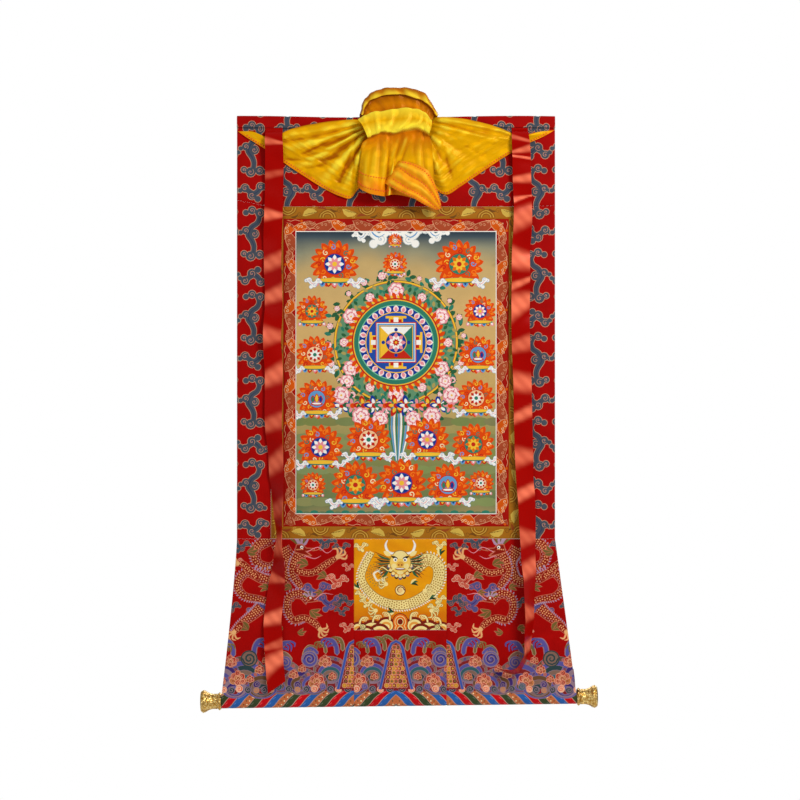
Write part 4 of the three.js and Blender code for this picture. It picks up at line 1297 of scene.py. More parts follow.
for side in (-1, 1):
    for k in range(7):
        lean = math.pi / 2 - side * (0.95 + 0.2 * k)
        door_draft.leaf(
            side * (18 + k), -938 - 3.4 * k, 34 - 1.6 * k, 5, lean - side * 0.25,
            MANE if k % 2 else LEAF_GREEN, bend=-0.1 * side
        )
        door_draft.leaf(side * (20 + k), -937 - 3.4 * k, 42 - 2 * k, 2.2, lean - side * 0.2, RUST)
    for width, colour in ((5.6, dye(206, 196, 176)), (3.8, WHITE)):
        horn = [(side * 11, -926), (side * 25, -922), (side * 31, -908), (side * 27, -897)]
        door_draft.line(horn, width, colour, ends=(1, 0.3))
    door_draft.leaf(side * 20, -930, 18, 10, math.pi / 2 - side * 1.0, SCALE_CREAM)
for k in range(9):
    a = math.pi + math.pi * (k + 0.5) / 9
    door_draft.disc(
        24 * math.cos(a), -948 + 29 * math.sin(a), 4.4, INK if k % 2 else dye(96, 84, 120), sides=7
    )
    door_draft.disc(23 * math.cos(a), -947 + 27 * math.sin(a), 3.6, SCALE_CREAM, sides=7)
door_draft.disc(0, -944, 23, SCALE_DARK, sides=20, squash=1.08)
door_draft.disc(0, -944, 21.6, dye(238, 196, 92), sides=20, squash=1.08)
door_draft.disc(0, -928, 13, SCALE_CREAM, sides=14, squash=0.66)
for k in range(9):
    door_draft.disc(-12 + 3 * k, -922 + 3.2 * math.sin(math.pi * k / 8), 1.3, SCALE_DARK, sides=6)
for side in (-1, 1):
    door_draft.leaf(side * 5, -936, 15, 5.5, math.pi / 2 - side * 1.25, INK)
    door_draft.disc(side * 10.5, -938.5, 4.2, WHITE, sides=10)
    door_draft.disc(side * 10, -939, 2.1, INK, sides=8)
    door_draft.disc(side * 13, -952, 5.6, SCALE_CREAM, sides=10)
    door_draft.line(
        [(side * 9, -955), (side * 24, -962), (side * 38, -954), (side * 47, -962)], 2.0, SCALE_CREAM,
        ends=(1, 0.3)
    )
door_draft.disc(0, -948, 7.6, GOLD, sides=12, squash=0.8)
for side in (-1, 1):
    door_draft.disc(side * 3.2, -949.5, 1.6, MAROON, sides=7)
door_draft.leaf(-12, -958, 24, 6, 0, MAROON)
door_draft.leaf(-10, -957.4, 20, 2.6, 0, WHITE)
door_draft.disc(0, -966, 7, SCALE_CREAM, sides=10, squash=0.6)
spiral(door_draft, 0, -1003, 11.5, SCALE_CREAM, MAROON, turns=1.2)
door_draft.disc(0, -1003, 5, dye(236, 190, 120), sides=10)
for side in (-1, 1):
    for u, z, r in ((88, -1084, 17), (60, -1086, 24), (30, -1076, 19), (44, -1092, 22), (74, -1096, 22)):
        swell(door_draft, side * u, z, r, (MAROON, SCALE_CREAM, dye(226, 150, 60), SCALE_CREAM, ORANGE), 0.86)
    for u, z, hand in ((22, -1060, 1), (58, -1064, -1), (86, -1068, -1)):
        claw(door_draft, side * u, z - 6, 17, 0.1 * side, hand * side, SCALE_CREAM, MAROON)
    spiral(door_draft, side * 79, -1081, 6.5, SCALE_CREAM, INK, side)
for radius, colour in (
    (17, MAROON), (15.4, ORANGE), (12, SCALE_CREAM), (10.6, ORANGE), (7, SCALE_CREAM), (5.6, MAROON)
):
    for drop in (0, 17):
        door_draft.disc(0, -1070 - drop, radius, colour, sides=16, squash=1.1)
door_outline = edge_points(box(DOOR_LEFT + TINY, DOOR_BOTTOM, DOOR_RIGHT - TINY, LOWER_SEAM + SEAM), 8)
door_satin = fabric("door_satin_face", 0.42, 0.3, 0.0, thread=0.45, rib=0.22, fade=0.1)
door_panel = woven(
    "door_panel_cloth", door_outline, door_draft, door_ground, laid_flat, BROCADE, 10,
    [door_satin, brocade_back], dye(190, 130, 30)
)
hung(door_panel, "door_panel", door_outline)

# %% [markdown]
# ## The lower mount and its sleeve
# Three panels of dragon brocade flare out below the picture. Their foot turns round the rod and
# is sewn up behind, so the flat height runs down the front, along the bend and up the back. The
# woven sea, its peaks and the slanting stripes go round that bend with the cloth. The sea is
# drawn outwards from a peak once, and set four times: from each seam, and both ways in the middle.

# %% The lower cloth's bent section
SLEEVE = 13.3
SLEEVE_MIDDLE = SLEEVE + BROCADE / 2
SLEEVE_END = math.radians(35)
SLEEVE_HEM = 14
LIFT_LENGTH = (SLEEVE + SLEEVE_MIDDLE * math.cos(SLEEVE_END) - 1.2) / math.sin(SLEEVE_END)
ARC_LENGTH = SLEEVE_MIDDLE * (math.pi + SLEEVE_END)
FLAT_FOOT = ARC_LENGTH + LIFT_LENGTH + SLEEVE_HEM


def sleeve_point(s):
    """y, height above the rod and outward normal, at a distance s past the rod's height."""
    a = math.pi + np.clip(s, 0, ARC_LENGTH) / SLEEVE_MIDDLE
    y, up = SLEEVE + SLEEVE_MIDDLE * np.cos(a), SLEEVE_MIDDLE * np.sin(a)
    ny, nz = np.cos(a), np.sin(a)
    run = np.clip(s - ARC_LENGTH, 0, LIFT_LENGTH)
    y, up = y - run * math.sin(SLEEVE_END), up + run * math.cos(SLEEVE_END)
    flat = smooth(s, ARC_LENGTH + LIFT_LENGTH - 5, ARC_LENGTH + LIFT_LENGTH + 1)
    up = up + np.maximum(0, s - ARC_LENGTH - LIFT_LENGTH)
    angle = SLEEVE_END * (1 - flat)
    bent = s > ARC_LENGTH
    return y, up, np.where(bent, np.cos(angle), ny), np.where(bent, np.sin(angle), nz)


def on_lower(x, v, lift):
    below = np.maximum(0, rod_z(x) - v)
    y, up, ny, nz = sleeve_point(below)
    off = lift - BROCADE / 2
    in_front = v > rod_z(x)
    front_y = -BROCADE / 2 - hang(x, v)
    return np.stack(
        [x, np.where(in_front, front_y - off, y + ny * off), np.where(in_front, v, rod_z(x) + up + nz * off)],
        -1
    )


def true_height(x, v):
    below = max(0.0, float(rod_z(x)) - v)
    return v if below == 0 else float(rod_z(x) + sleeve_point(np.array([below]))[1][0])


print("cloth past the rod's height:", round(FLAT_FOOT), "mm")

# %% The woven sea
WAVE_PALE = dye(144, 116, 128)
WAVE_BEIGE = dye(128, 98, 84)
WAVE_LILAC = dye(86, 80, 146)
VIOLET = dye(64, 44, 106)
SEA_RED = dye(128, 34, 36)
BLOOM = dye(188, 84, 60)
BLOOM_EDGE = dye(226, 156, 126)
PEAK_BLUE = dye(60, 82, 158)
DARK_TEAL = dye(44, 64, 66)
STRIPES = (dye(190, 14, 22), dye(56, 68, 40), dye(192, 104, 60), dye(44, 92, 160))
STRIPE_EDGE = dye(184, 142, 124)
STRIPE_WIDTH = 18.4
SEAM_LINE = -0.5
STRAW = dye(176, 140, 112)


def past_seam(points):
    """The part of a shape that lies to the right of the seam."""
    kept = []
    for a, b in zip(points, points[1:] + points[:1]):
        if a[0] >= SEAM_LINE:
            kept.append(a)
        if (a[0] >= SEAM_LINE) != (b[0] >= SEAM_LINE):
            t = (SEAM_LINE - a[0]) / (b[0] - a[0])
            kept.append((SEAM_LINE, a[1] + (b[1] - a[1]) * t))
    return kept


def stripes(draft, reach):
    top, foot_z, width = -1214, -1352, STRIPE_WIDTH
    heights = np.linspace(top, foot_z, 36)
    lean = [(top - h) * 1.15 + 5.5 * math.sin((top - h) / 9.5) * math.exp(-(top - h) / 70) for h in heights]
    for k in range(-9, math.ceil(reach / width) + 1):
        colour = STRIPES[k % 4]
        start = 2 + width * k
        for inset, shade in ((0, STRIPE_EDGE), (1.3, colour)):
            band = [(start + inset + shift, h) for shift, h in zip(lean, heights)]
            band += [(start + width - inset * 0.4 + shift, h) for shift, h in zip(lean[::-1], heights[::-1])]
            shape = past_seam(band)
            if len(shape) > 2:
                draft.area(shape, shade, 0.2)
        if k % 4 == 2:
            for i in range(2, 34, 2):
                for across in (5.5, 12.5):
                    u = start + across + lean[i]
                    if 2 < u < reach:
                        draft.disc(u, heights[i], 1.7, CREAM if across < 9 else BROWN, sides=6)
        else:
            for i in range(1, 34, 3):
                u = start + 13 + lean[i]
                if 2 < u < reach:
                    draft.line(
                        [(u, heights[i]), (start + 14.5 + lean[i + 1], heights[i + 1])], 1.5,
                        tuple(c * 1.5 + 0.05 for c in colour), steps=2
                    )


def rosette(draft, t, z, size):
    """A bunch of curled blossoms, in salmon, gold and red."""
    for k, (u, v, r) in enumerate(
        (
            (-1, -0.7, 0.8), (1, -0.7, 0.8), (-0.75, 0.25, 0.75), (0.75, 0.25, 0.75), (0, -0.2, 0.8),
            (0, 0.95, 0.62), (0, -1.15, 0.7)
        )
    ):
        fill = (BLOOM, dye(184, 112, 58), dye(184, 50, 30))[k % 3]
        spiral(draft, t + u * size, z + v * size, r * size, fill, BLOOM_EDGE, 1 if u > 0 else -1, 1.3, k)
        draft.curl(t + u * size, z + v * size, r * size * 0.5, SEA_RED, 1.1, 1.2, k + 2, 1 if u > 0 else -1)


def peak(draft):
    top, foot_z = -1107, -1213
    for inset, colour in ((0, WAVE_PALE), (1.6, PEAK_BLUE), (6.4, WAVE_PALE), (7.6, SEA_RED)):
        side = [
            (0, top - inset), (11 - inset * 0.5, top - 6 - inset * 0.7),
            (18 - inset, top - 18 - inset * 0.4), (24 - inset, top - 48), (38 - inset, foot_z)
        ]
        draft.area(side + [(-u, v) for u, v in reversed(side[1:])], colour, 0.3)
    for row in range(10):
        z = -1124 - 9 * row
        half = 7 + 1.9 * row
        count = max(1, round(2 * half / 9))
        for i in range(count + row % 2):
            u = (2 * (i + 0.5) / (count + row % 2) - 1) * half
            for r, colour in (
                (5.6, BLOOM_EDGE), (4.8, (SEA_RED, BLOOM, dye(196, 130, 44))[(row + i) % 3]),
                (2.4, dye(206, 150, 60) if row % 2 else OLIVE)
            ):
                draft.disc(u, z, r, colour, 0.3, sides=9)


def sea(draft, reach):
    stripes(draft, reach)
    draft.area([(SEAM_LINE, -1216), (reach, -1219), (reach, -1164), (SEAM_LINE, -1164)], SEA_RED)
    swells = [
        (232, -1178, 44, (BROWN, WAVE_LILAC, DARK_TEAL, WAVE_BEIGE, TEAL, SEA_RED)),
        (282, -1182, 40, (WAVE_LILAC, VIOLET, WAVE_PALE, WAVE_LILAC, SEA_RED, VIOLET)),
        (156, -1186, 46, (WAVE_BEIGE, WAVE_LILAC, SEA_RED, VIOLET, WAVE_LILAC, BROWN)),
        (196, -1204, 36, (WAVE_LILAC, BROWN, WAVE_BEIGE, DARK_TEAL, SEA_RED)),
        (112, -1196, 36, (WAVE_BEIGE, VIOLET, BROWN, WAVE_LILAC, SEA_RED)),
        (50, -1172, 36, (WAVE_BEIGE, SEA_RED, WAVE_LILAC, TEAL, WAVE_BEIGE, DARK_TEAL, BROWN)),
        (86, -1200, 30, (BROWN, WAVE_LILAC, SEA_RED, VIOLET, WAVE_LILAC)),
        (252, -1208, 30, (WAVE_LILAC, WAVE_PALE, VIOLET, WAVE_LILAC, SEA_RED)),
    ]
    for t, z, r, colours in swells:
        if t - r < reach:
            swell(draft, t, z, r, colours, rim=WAVE_PALE)
            for k in range(7):
                a = 0.35 + 0.4 * k
                spiral(
                    draft, t + 0.86 * r * math.cos(a), z + 0.68 * r * math.sin(a), 4.2,
                    (SEA_RED, VIOLET, BLOOM)[k % 3], WAVE_PALE, 1, 1.2, a
                )
    crests = [
        (24, -1128, 27, 0.1, 1, OLIVE), (60, -1134, 24, 0.0, 1, OLIVE), (106, -1140, 25, 0.2, -1, OLIVE),
        (186, -1138, 26, 0.1, -1, OLIVE), (36, -1136, 34, 0.0, 1, WAVE_LILAC),
        (78, -1136, 22, -0.6, 1, WAVE_LILAC), (160, -1144, 36, 0.0, -1, WAVE_LILAC),
        (212, -1138, 36, 0.0, -1, WAVE_LILAC), (256, -1140, 34, 0.1, 1, WAVE_LILAC),
        (134, -1150, 26, -0.5, 1, WAVE_BEIGE), (284, -1142, 30, 0.1, -1, OLIVE),
    ]
    for t, z, size, lean, hand, colour in crests:
        if t < reach + 10:
            claw(draft, t, z, size, lean, hand, colour, WAVE_PALE if colour == WAVE_LILAC else STRAW)
    if reach > 150:
        spiral(draft, 222, -1148, 18, WAVE_BEIGE, DARK_TEAL, -1, 1.7)
        spiral(draft, 146, -1156, 14, WAVE_LILAC, WAVE_PALE, 1, 1.6)
    spiral(draft, 94, -1149, 18, WAVE_LILAC, WAVE_PALE, 1, 1.7)
    draft.curl(94, -1149, 12, VIOLET, 2.8, 1.5, 0, 1)
    for t, z, size in (
        (61, -1152, 8), (79, -1194, 10), (168, -1192, 10), (246, -1188, 10), (262, -1152, 8),
        (14, -1172, 6), (128, -1180, 6), (200, -1170, 6), (284, -1192, 7), (110, -1168, 5), (186, -1150, 5),
        (220, -1190, 5), (46, -1184, 5)
    ):
        if t < reach + 10:
            rosette(draft, t, z, size)
    for t, z, r, fill in (
        (32, -1203, 8, VIOLET), (120, -1204, 8, VIOLET), (206, -1203, 8, VIOLET), (284, -1204, 8, VIOLET),
        (13, -1212, 8, DARK_TEAL), (33, -1213, 7, SALMON), (50, -1213, 8, DARK_TEAL),
        (66, -1207, 7, WAVE_LILAC), (84, -1212, 7.5, SALMON), (102, -1213, 8, DARK_TEAL),
        (120, -1214, 7, dye(200, 130, 70)),
        (138, -1213, 8, DARK_TEAL), (160, -1207, 8.5, TEAL), (176, -1213, 7, SALMON),
        (190, -1214, 8, DARK_TEAL), (207, -1215, 7, dye(200, 130, 70)), (224, -1214, 8, DARK_TEAL),
        (243, -1212, 8, SALMON), (260, -1215, 8, DARK_TEAL), (276, -1214, 7, SALMON),
    ):
        if t < reach + 10:
            spiral(
                draft, t, z, r, fill, WAVE_PALE if fill != SALMON else dye(240, 196, 160),
                1 if int(t) % 2 else -1, 1.4, t
            )


print("sea:", len(STRIPES), "stripe colours")

# %% The dragons of the lower mount
HIDE = dye(136, 26, 12)
HIDE_SCALE = dye(226, 150, 100)
HIDE_EDGE = dye(190, 100, 74)
FLAME_OLIVE = dye(112, 92, 44)
PALE_LILAC = dye(172, 138, 160)


def flame(draft, t, z, size, lean):
    for k, spread in enumerate((-0.5, 0, 0.45)):
        draft.leaf(t, z, size * (1 - 0.18 * abs(k - 1)), size * 0.34, lean + spread, HIDE_EDGE, bend=0.14)
        draft.leaf(
            t, z, size * 0.9 * (1 - 0.18 * abs(k - 1)), size * 0.24, lean + spread, FLAME_OLIVE, bend=0.14
        )


def dragon_head(draft, t, z, size, lean):
    at = turned_grid(t, z, size, lean)
    for k in range(6):
        a = lean + 0.5 + 0.32 * k
        draft.leaf(*at(0.15, 0.1), size * 1.1, size * 0.2, a, PALE_LILAC if k % 2 else FLAME_OLIVE, bend=0.12)
    for points in ([at(0.1, 0.3), at(0.5, 0.8), at(0.9, 0.85)], [at(0.0, 0.35), at(0.2, 1.0), at(0.6, 1.2)]):
        draft.line(points, size * 0.13, PALE_LILAC, ends=(1, 0.3), steps=3)
    draft.area(
        [
            at(0.5, -0.35), at(0.45, 0.32), at(0, 0.42), at(-0.4, 0.2), at(-1.0, 0.3), at(-1.1, 0.1),
            at(-0.45, -0.06), at(-0.95, -0.32), at(-0.8, -0.46), at(0, -0.42)
        ],
        HIDE_EDGE
    )
    draft.area(
        [
            at(0.42, -0.28), at(0.38, 0.25), at(0, 0.34), at(-0.4, 0.13), at(-0.95, 0.22), at(-1.0, 0.12),
            at(-0.3, -0.08), at(-0.8, -0.36), at(0, -0.34)
        ],
        HIDE
    )
    draft.disc(*at(-0.02, 0.16), size * 0.13, WHITE, sides=8)
    draft.disc(*at(-0.04, 0.15), size * 0.06, INK, sides=6)
    for k in range(4):
        draft.disc(*at(0.3 - 0.14 * k, -0.1 + 0.04 * k), size * 0.06, HIDE_SCALE, sides=6)
    draft.line([at(-0.9, 0.05), at(-1.4, 0.3), at(-1.5, 0.9)], size * 0.06, HIDE_EDGE, ends=(1, 0.3), steps=3)


def dragons(draft):
    for t, z, flip, up, size in (
        (62, -902, 1, 1, 0.8), (27, -914, -1, 1, 0.6), (198, -1036, 1, -1, 0.9), (150, -1030, -1, 1, 0.7),
        (240, -910, 1, 1, 0.7), (80, -1006, -1, 1, 1.0), (52, -1030, 1, 1, 0.95), (22, -1024, 1, -1, 0.7),
        (26, -1048, -1, 1, 0.5), (262, -1040, 1, 1, 0.7),
    ):
        cloud(
            draft, SHORT_CLOUD, t, z, flip, up, dye(84, 78, 128) if size > 0.85 else SLATE, HIDE_EDGE,
            VIOLET, size
        )
    for t, z, size in (
        (36, -984, 0.75), (12, -954, 0.4), (14, -1082, 0.5), (172, -1094, 0.4), (250, -944, 0.5)
    ):
        cloud(draft, SHORT_CLOUD, t, z, 1, 1, dye(196, 90, 70), dye(236, 190, 160), RED, size)
    spines = (
        ([(176, -894), (206, -914), (204, -944), (176, -952), (160, -930), (170, -908)], 23),
        (
            [
                (150, -912), (134, -946), (150, -984), (190, -980), (226, -966), (246, -990), (232, -1014),
                (196, -1022), (170, -1034)
            ],
            25
        ),
        ([(104, -916), (122, -940), (128, -968), (112, -996)], 26),
        ([(94, -1026), (112, -1012), (136, -1018), (140, -1046), (126, -1068), (104, -1062)], 20),
        ([(196, -1040), (214, -1056), (240, -1076), (256, -1094)], 23),
    )
    for spine, width in spines:
        dragon_body(draft, spine, width, HIDE_EDGE, HIDE, HIDE_SCALE, PALE_LILAC, dye(190, 120, 110))
    for t, z, size, lean in (
        (97, -949, 30, 0.1), (58, -975, 28, 0.25), (94, -1046, 30, 3.5), (223, -1087, 30, 0.5),
        (227, -922, 28, 2.9), (132, -1000, 22, 0.3), (66, -1012, 20, 0.2),
        (180, -1000, 24, 0.2), (150, -1086, 22, 0.1), (120, -1092, 20, 3.0),
    ):
        flame(draft, t, z, size, lean)
    for points, size in (
        ([(122, -962), (89, -966), (56, -946), (34, -932)], 16),
        ([(126, -1066), (104, -1062), (82, -1074), (72, -1086)], 15), ([(240, -1076), (254, -1092)], 14),
        ([(206, -976), (232, -950), (246, -946)], 13)
    ):
        draft.line(points, 15, HIDE_EDGE, ends=(1, 0.6), steps=4)
        draft.line(points, 12.8, HIDE, ends=(1, 0.6), steps=4)
        spots, normals, _ = along(points, 4.8)
        for k, (spot, normal) in enumerate(zip(spots, normals)):
            for row in ((-3.4, 0.6), (-1.4, 3.2))[k % 2]:
                draft.disc(*(spot + normal * row), 1.7, HIDE_SCALE, 0.6, sides=6)
        end, last = points[-1], points[-2]
        foot(
            draft, *end, math.atan2(end[1] - last[1], end[0] - last[0]), size, dye(226, 170, 110),
            dye(206, 104, 70)
        )
    for k in range(11):
        a = 2.2 + 0.3 * k
        draft.leaf(190 + 29 * math.cos(a), -924 + 30 * math.sin(a), 7, 5, a + 0.6, PALE_LILAC, 0.3)
    dragon_head(draft, 112, -916, 27, 0.2)
    dragon_head(draft, 92, -1022, 17, -0.2)
    for points in (
        [(100, -922), (76, -912), (58, -924), (44, -916)], [(84, -1024), (66, -1010), (44, -1012)],
        [(104, -930), (84, -936), (70, -930)]
    ):
        draft.line(points, 1.5, dye(226, 140, 150), ends=(1, 0.3), steps=4)


print("dragon helpers ready")

# %% Sewing the lower panels


def lower_outline(left, right, top):
    """Left and right are functions of the true height; the outline is in flat heights."""
    bottom = ROD_Z - FLAT_FOOT
    heights = list(np.linspace(bottom, ROD_Z + 6, 27)) + list(np.linspace(ROD_Z + 6, top, 34)[1:])
    count = math.ceil((right(top) - left(top)) / 9)

    def across(v, i):
        lo, hi = left(true_height(0, v)), right(true_height(0, v))
        return float(lo + (hi - lo) * i / count)
    foot_line = [(across(bottom, i), bottom) for i in range(count + 1)]
    right_line = [(across(v, count), float(v)) for v in heights[1:-1]]
    top_line = [(across(top, i), top) for i in range(count, -1, -1)]
    left_line = [(across(v, 0), float(v)) for v in heights[-2:0:-1]]
    return foot_line + right_line + top_line + left_line


sleeve_rows = np.linspace(ROD_Z + 8, ROD_Z - FLAT_FOOT, 30)
left_outline = lower_outline(left_edge, lambda z: DOOR_LEFT - TINY, LOWER_SEAM)
centre_outline = lower_outline(
    lambda z: DOOR_LEFT + TINY, lambda z: DOOR_RIGHT - TINY, LOWER_SEAM - DOOR_HEIGHT
)
right_outline = lower_outline(lambda z: DOOR_RIGHT + TINY, right_edge, LOWER_SEAM)
SIDE_REACH = 300
lower_drafts = {}
for name, seam, side in (("left", DOOR_LEFT, -1), ("right", DOOR_RIGHT, 1)):
    draft = Draft(lambda t, z, seam=seam, side=side: (seam + side * t, z))
    dragons(draft)
    sea(draft, SIDE_REACH)
    peak(draft)
    lower_drafts[name] = draft
centre_draft = Draft()
for side, reach in ((1, 110), (-1, 92)):
    centre_draft.frame = lambda t, z, side=side: (side * t, z)
    sea(centre_draft, reach)
    claw(centre_draft, 8, -1108, 20, -0.7, 1, OLIVE, STRAW)
peak(centre_draft)
for name, outline, draft in (
    ("left", left_outline, lower_drafts["left"]), ("centre", centre_outline, centre_draft),
    ("right", right_outline, lower_drafts["right"])
):
    cloth = woven(
        f"lower_panel_{name}_cloth", outline, draft, RED, on_lower, BROCADE, 9, PANEL_CLOTHS, REVERSE_RED,
        sleeve_rows
    )
    hung(cloth, f"lower_panel_{name}", outline)

# %% [markdown]
# ## Silk and satin
# The veil and the ribbons hang in folds, so each is a grid of points on smooth lines, given a
# thickness afterwards. The guide lines are those of the solids, and finer wrinkles run between
# them. Silk looks orange where light is caught in a fold, so the silk is painted with shade: a
# point is painted a deeper orange the further it lies behind the cloth around it. Where it stands
# out it is painted pale as a highlight.

# %% Smooth grids of points


def spline(points, count, power=0.5):
    """Even steps on a smooth curve through the given points, which may be whole rows of points."""
    p = np.asarray(points, float)
    p = np.concatenate([2 * p[:1] - p[1:2], p, 2 * p[-1:] - p[-2:-1]])
    at = np.linspace(0, len(p) - 3, count + 1)
    i = np.minimum(at.astype(int), len(p) - 4)
    w = (at - i).reshape(-1, *[1] * (p.ndim - 1))
    a, b, c, d = (p[i + k] for k in range(4))
    ab, bc, cd = (
        np.maximum(np.linalg.norm(v - u, axis=-1, keepdims=True), 1e-4) ** power
        for u, v in ((a, b), (b, c), (c, d))
    )
    t1 = ((b - a) / ab - (c - a) / (ab + bc) + (c - b) / bc) * bc
    t2 = ((c - b) / bc - (d - b) / (bc + cd) + (d - c) / cd) * bc
    return b + t1 * w + (3 * (c - b) - 2 * t1 - t2) * w**2 + (2 * (b - c) + t1 + t2) * w**3


def loft(lines, columns, rows):
    return spline(np.stack([spline(line, columns) for line in lines]), rows)


def unit(v):
    return v / np.maximum(np.linalg.norm(v, axis=-1, keepdims=True), 1e-9)


def facing(middle):
    return unit(np.cross(np.gradient(middle, axis=0), np.gradient(middle, axis=1)))


def hollows(middle, passes):
    """How far each point lies behind the cloth around it, in millimetres."""
    soft = middle[..., 1]
    for _ in range(passes):
        up = np.pad(soft, 1, "edge")
        soft = (up[:-2, 1:-1] + up[2:, 1:-1] + up[1:-1, :-2] + up[1:-1, 2:] + 2 * soft) / 6
    return middle[..., 1] - soft


def wrinkled(middle, depth, down, across, turn):
    """Adds slow uneven wrinkles, so many down the cloth and so many across it."""
    v, u = np.meshgrid(np.linspace(0, 1, middle.shape[0]), np.linspace(0, 1, middle.shape[1]), indexing="ij")
    wave = np.sin(6.28 * (across * u + 0.35 * np.sin(3.1 * down * v + turn)) + turn)
    wave = wave + 0.6 * np.sin(6.28 * (0.53 * across * u - 0.8 * down * v) + 2.3 * turn)
    wave = wave + 0.35 * np.sin(6.28 * (1.9 * across * u + 0.6 * down * v) + 4.1 * turn)
    edge = np.minimum(1, 12 * u * (1 - u) + 0.35) * np.minimum(1, 12 * v * (1 - v) + 0.35)
    return middle + facing(middle) * (depth * wave * edge)[..., None]


def draped(name, grids, thickness, materials):
    """A closed cloth from grids of points, each with a colour and a lustre at every point."""
    verts, faces, colours, lustres, flats, start = [], [], [], [], [], 0
    for middle, colour, lustre in grids:
        rows, columns = middle.shape[:2]
        off = facing(middle) * thickness / 2
        verts += [(middle + off).reshape(-1, 3), (middle - off).reshape(-1, 3)]
        colours += [colour.reshape(-1, 3)] * 2
        lustres += [lustre.ravel()] * 2
        u = np.cumsum(np.r_[0, np.linalg.norm(np.diff(middle[rows // 2], axis=0), axis=-1)])
        v = np.cumsum(np.r_[0, np.linalg.norm(np.diff(middle[:, columns // 2], axis=0), axis=-1)])
        flats += [np.stack(np.meshgrid(u, -v), -1).reshape(-1, 2)] * 2
        at = start + np.arange(rows * columns).reshape(rows, columns)
        back = at + rows * columns
        a, b, c, d = at[:-1, :-1], at[1:, :-1], at[1:, 1:], at[:-1, 1:]
        faces += np.stack([a, b, c, d], -1).reshape(-1, 4).tolist()
        a, b, c, d = back[:-1, :-1], back[1:, :-1], back[1:, 1:], back[:-1, 1:]
        faces += np.stack([a, d, c, b], -1).reshape(-1, 4).tolist()
        loop = np.concatenate([at[:-1, 0], at[-1, :-1], at[:0:-1, -1], at[0, :0:-1]])
        ahead = np.roll(loop, -1)
        faces += np.stack([ahead, loop, loop + rows * columns, ahead + rows * columns], -1).tolist()
        start += 2 * rows * columns
    thing = mesh_object(name, (np.concatenate(verts) * MM).tolist(), faces, materials)
    mesh = thing.data
    dyes = np.concatenate([np.concatenate(colours), np.ones((start, 1))], -1)
    mesh.color_attributes.new("dye", "FLOAT_COLOR", "POINT").data.foreach_set("color", dyes.ravel())
    mesh.attributes.new("lustre", "FLOAT", "POINT").data.foreach_set("value", np.concatenate(lustres))
    owners = np.zeros(len(mesh.loops), int)
    mesh.loops.foreach_get("vertex_index", owners)
    mesh.uv_layers.new(name="flat").data.foreach_set("uv", (np.concatenate(flats)[owners] * MM).ravel())
    mesh.polygons.foreach_set("use_smooth", np.ones(len(mesh.polygons), bool))
    mesh.set_sharp_from_angle(angle=1.0)
    print(f"{name}: {len(mesh.polygons)} faces")
    return thing


def half_surface(thing):
    areas = np.zeros(len(thing.data.polygons), np.float32)
    thing.data.polygons.foreach_get("area", areas)
    return float(areas.sum()) / 2


print("grids ready")

# %% The veil's guide lines
LEFT_WING = [
    # leaves the gather at x, z; ends at the hem at x, z; stands forward; sags; lifts; is pressed
    (-78, -7, -335, -31, 3, 2, 4, 13), (-78, -12, -318, -43, 10, 8, 0, 9),
    (-77, -16, -300, -54, 6, 8, 0, 4), (-76, -20, -268, -75, 13, 6, 0, 0),
    (-75, -24, -238, -97, 4, 2, 0, 0), (-74, -28, -215, -113, 15, -2, 0, 0),
    (-73, -32, -190, -129, 5, -4, 0, 0), (-72, -36, -162, -147, 16, -3, 0, 0),
    (-71, -40, -136, -161, 5, -3, 0, 0), (-70, -43, -117, -169, 18, -2, 0, 0),
    (-69, -46, -97, -173, 10, 0, 0, 0), (-67, -48, -82, -156, 5, 0, 0, 0),
    (-64, -50, -62, -136, 3, 0, 0, 0),
]
RIGHT_WING = [
    (84, -3, 335, -29, 3, 3, 7, 9), (84, -8, 322, -37, 10, 4, 3, 6), (84, -12, 306, -45, 5, 6, 1, 2),
    (84, -16, 284, -55, 12, 6, 0, 0), (83, -21, 256, -70, 11, 4, 0, 0), (82, -26, 226, -88, 12, 2, 0, 0),
    (81, -31, 196, -108, 9, 0, 0, 0), (80, -36, 166, -128, 13, 0, 0, 0), (78, -41, 135, -149, 8, 0, 0, 0),
    (75, -46, 108, -165, 15, 0, 0, 0), (71, -50, 89, -158, 7, 0, 0, 0), (65, -52, 66, -124, 3, 0, 0, 0),
]
# Painted shade for the veil's bunch: bronze, amber and honey where the crown and its hollows lie in shade.
SHADE_AMBER = dye(210, 112, 0)
SHADOW_BRONZE = dye(128, 60, 0)
SHADE_HONEY = dye(212, 126, 2)
SILK = dye(230, 166, 2)
# Painted highlight: the pale yellow of rims and bulges that catch the light.
HIGHLIGHT_SILK = dye(255, 226, 56)
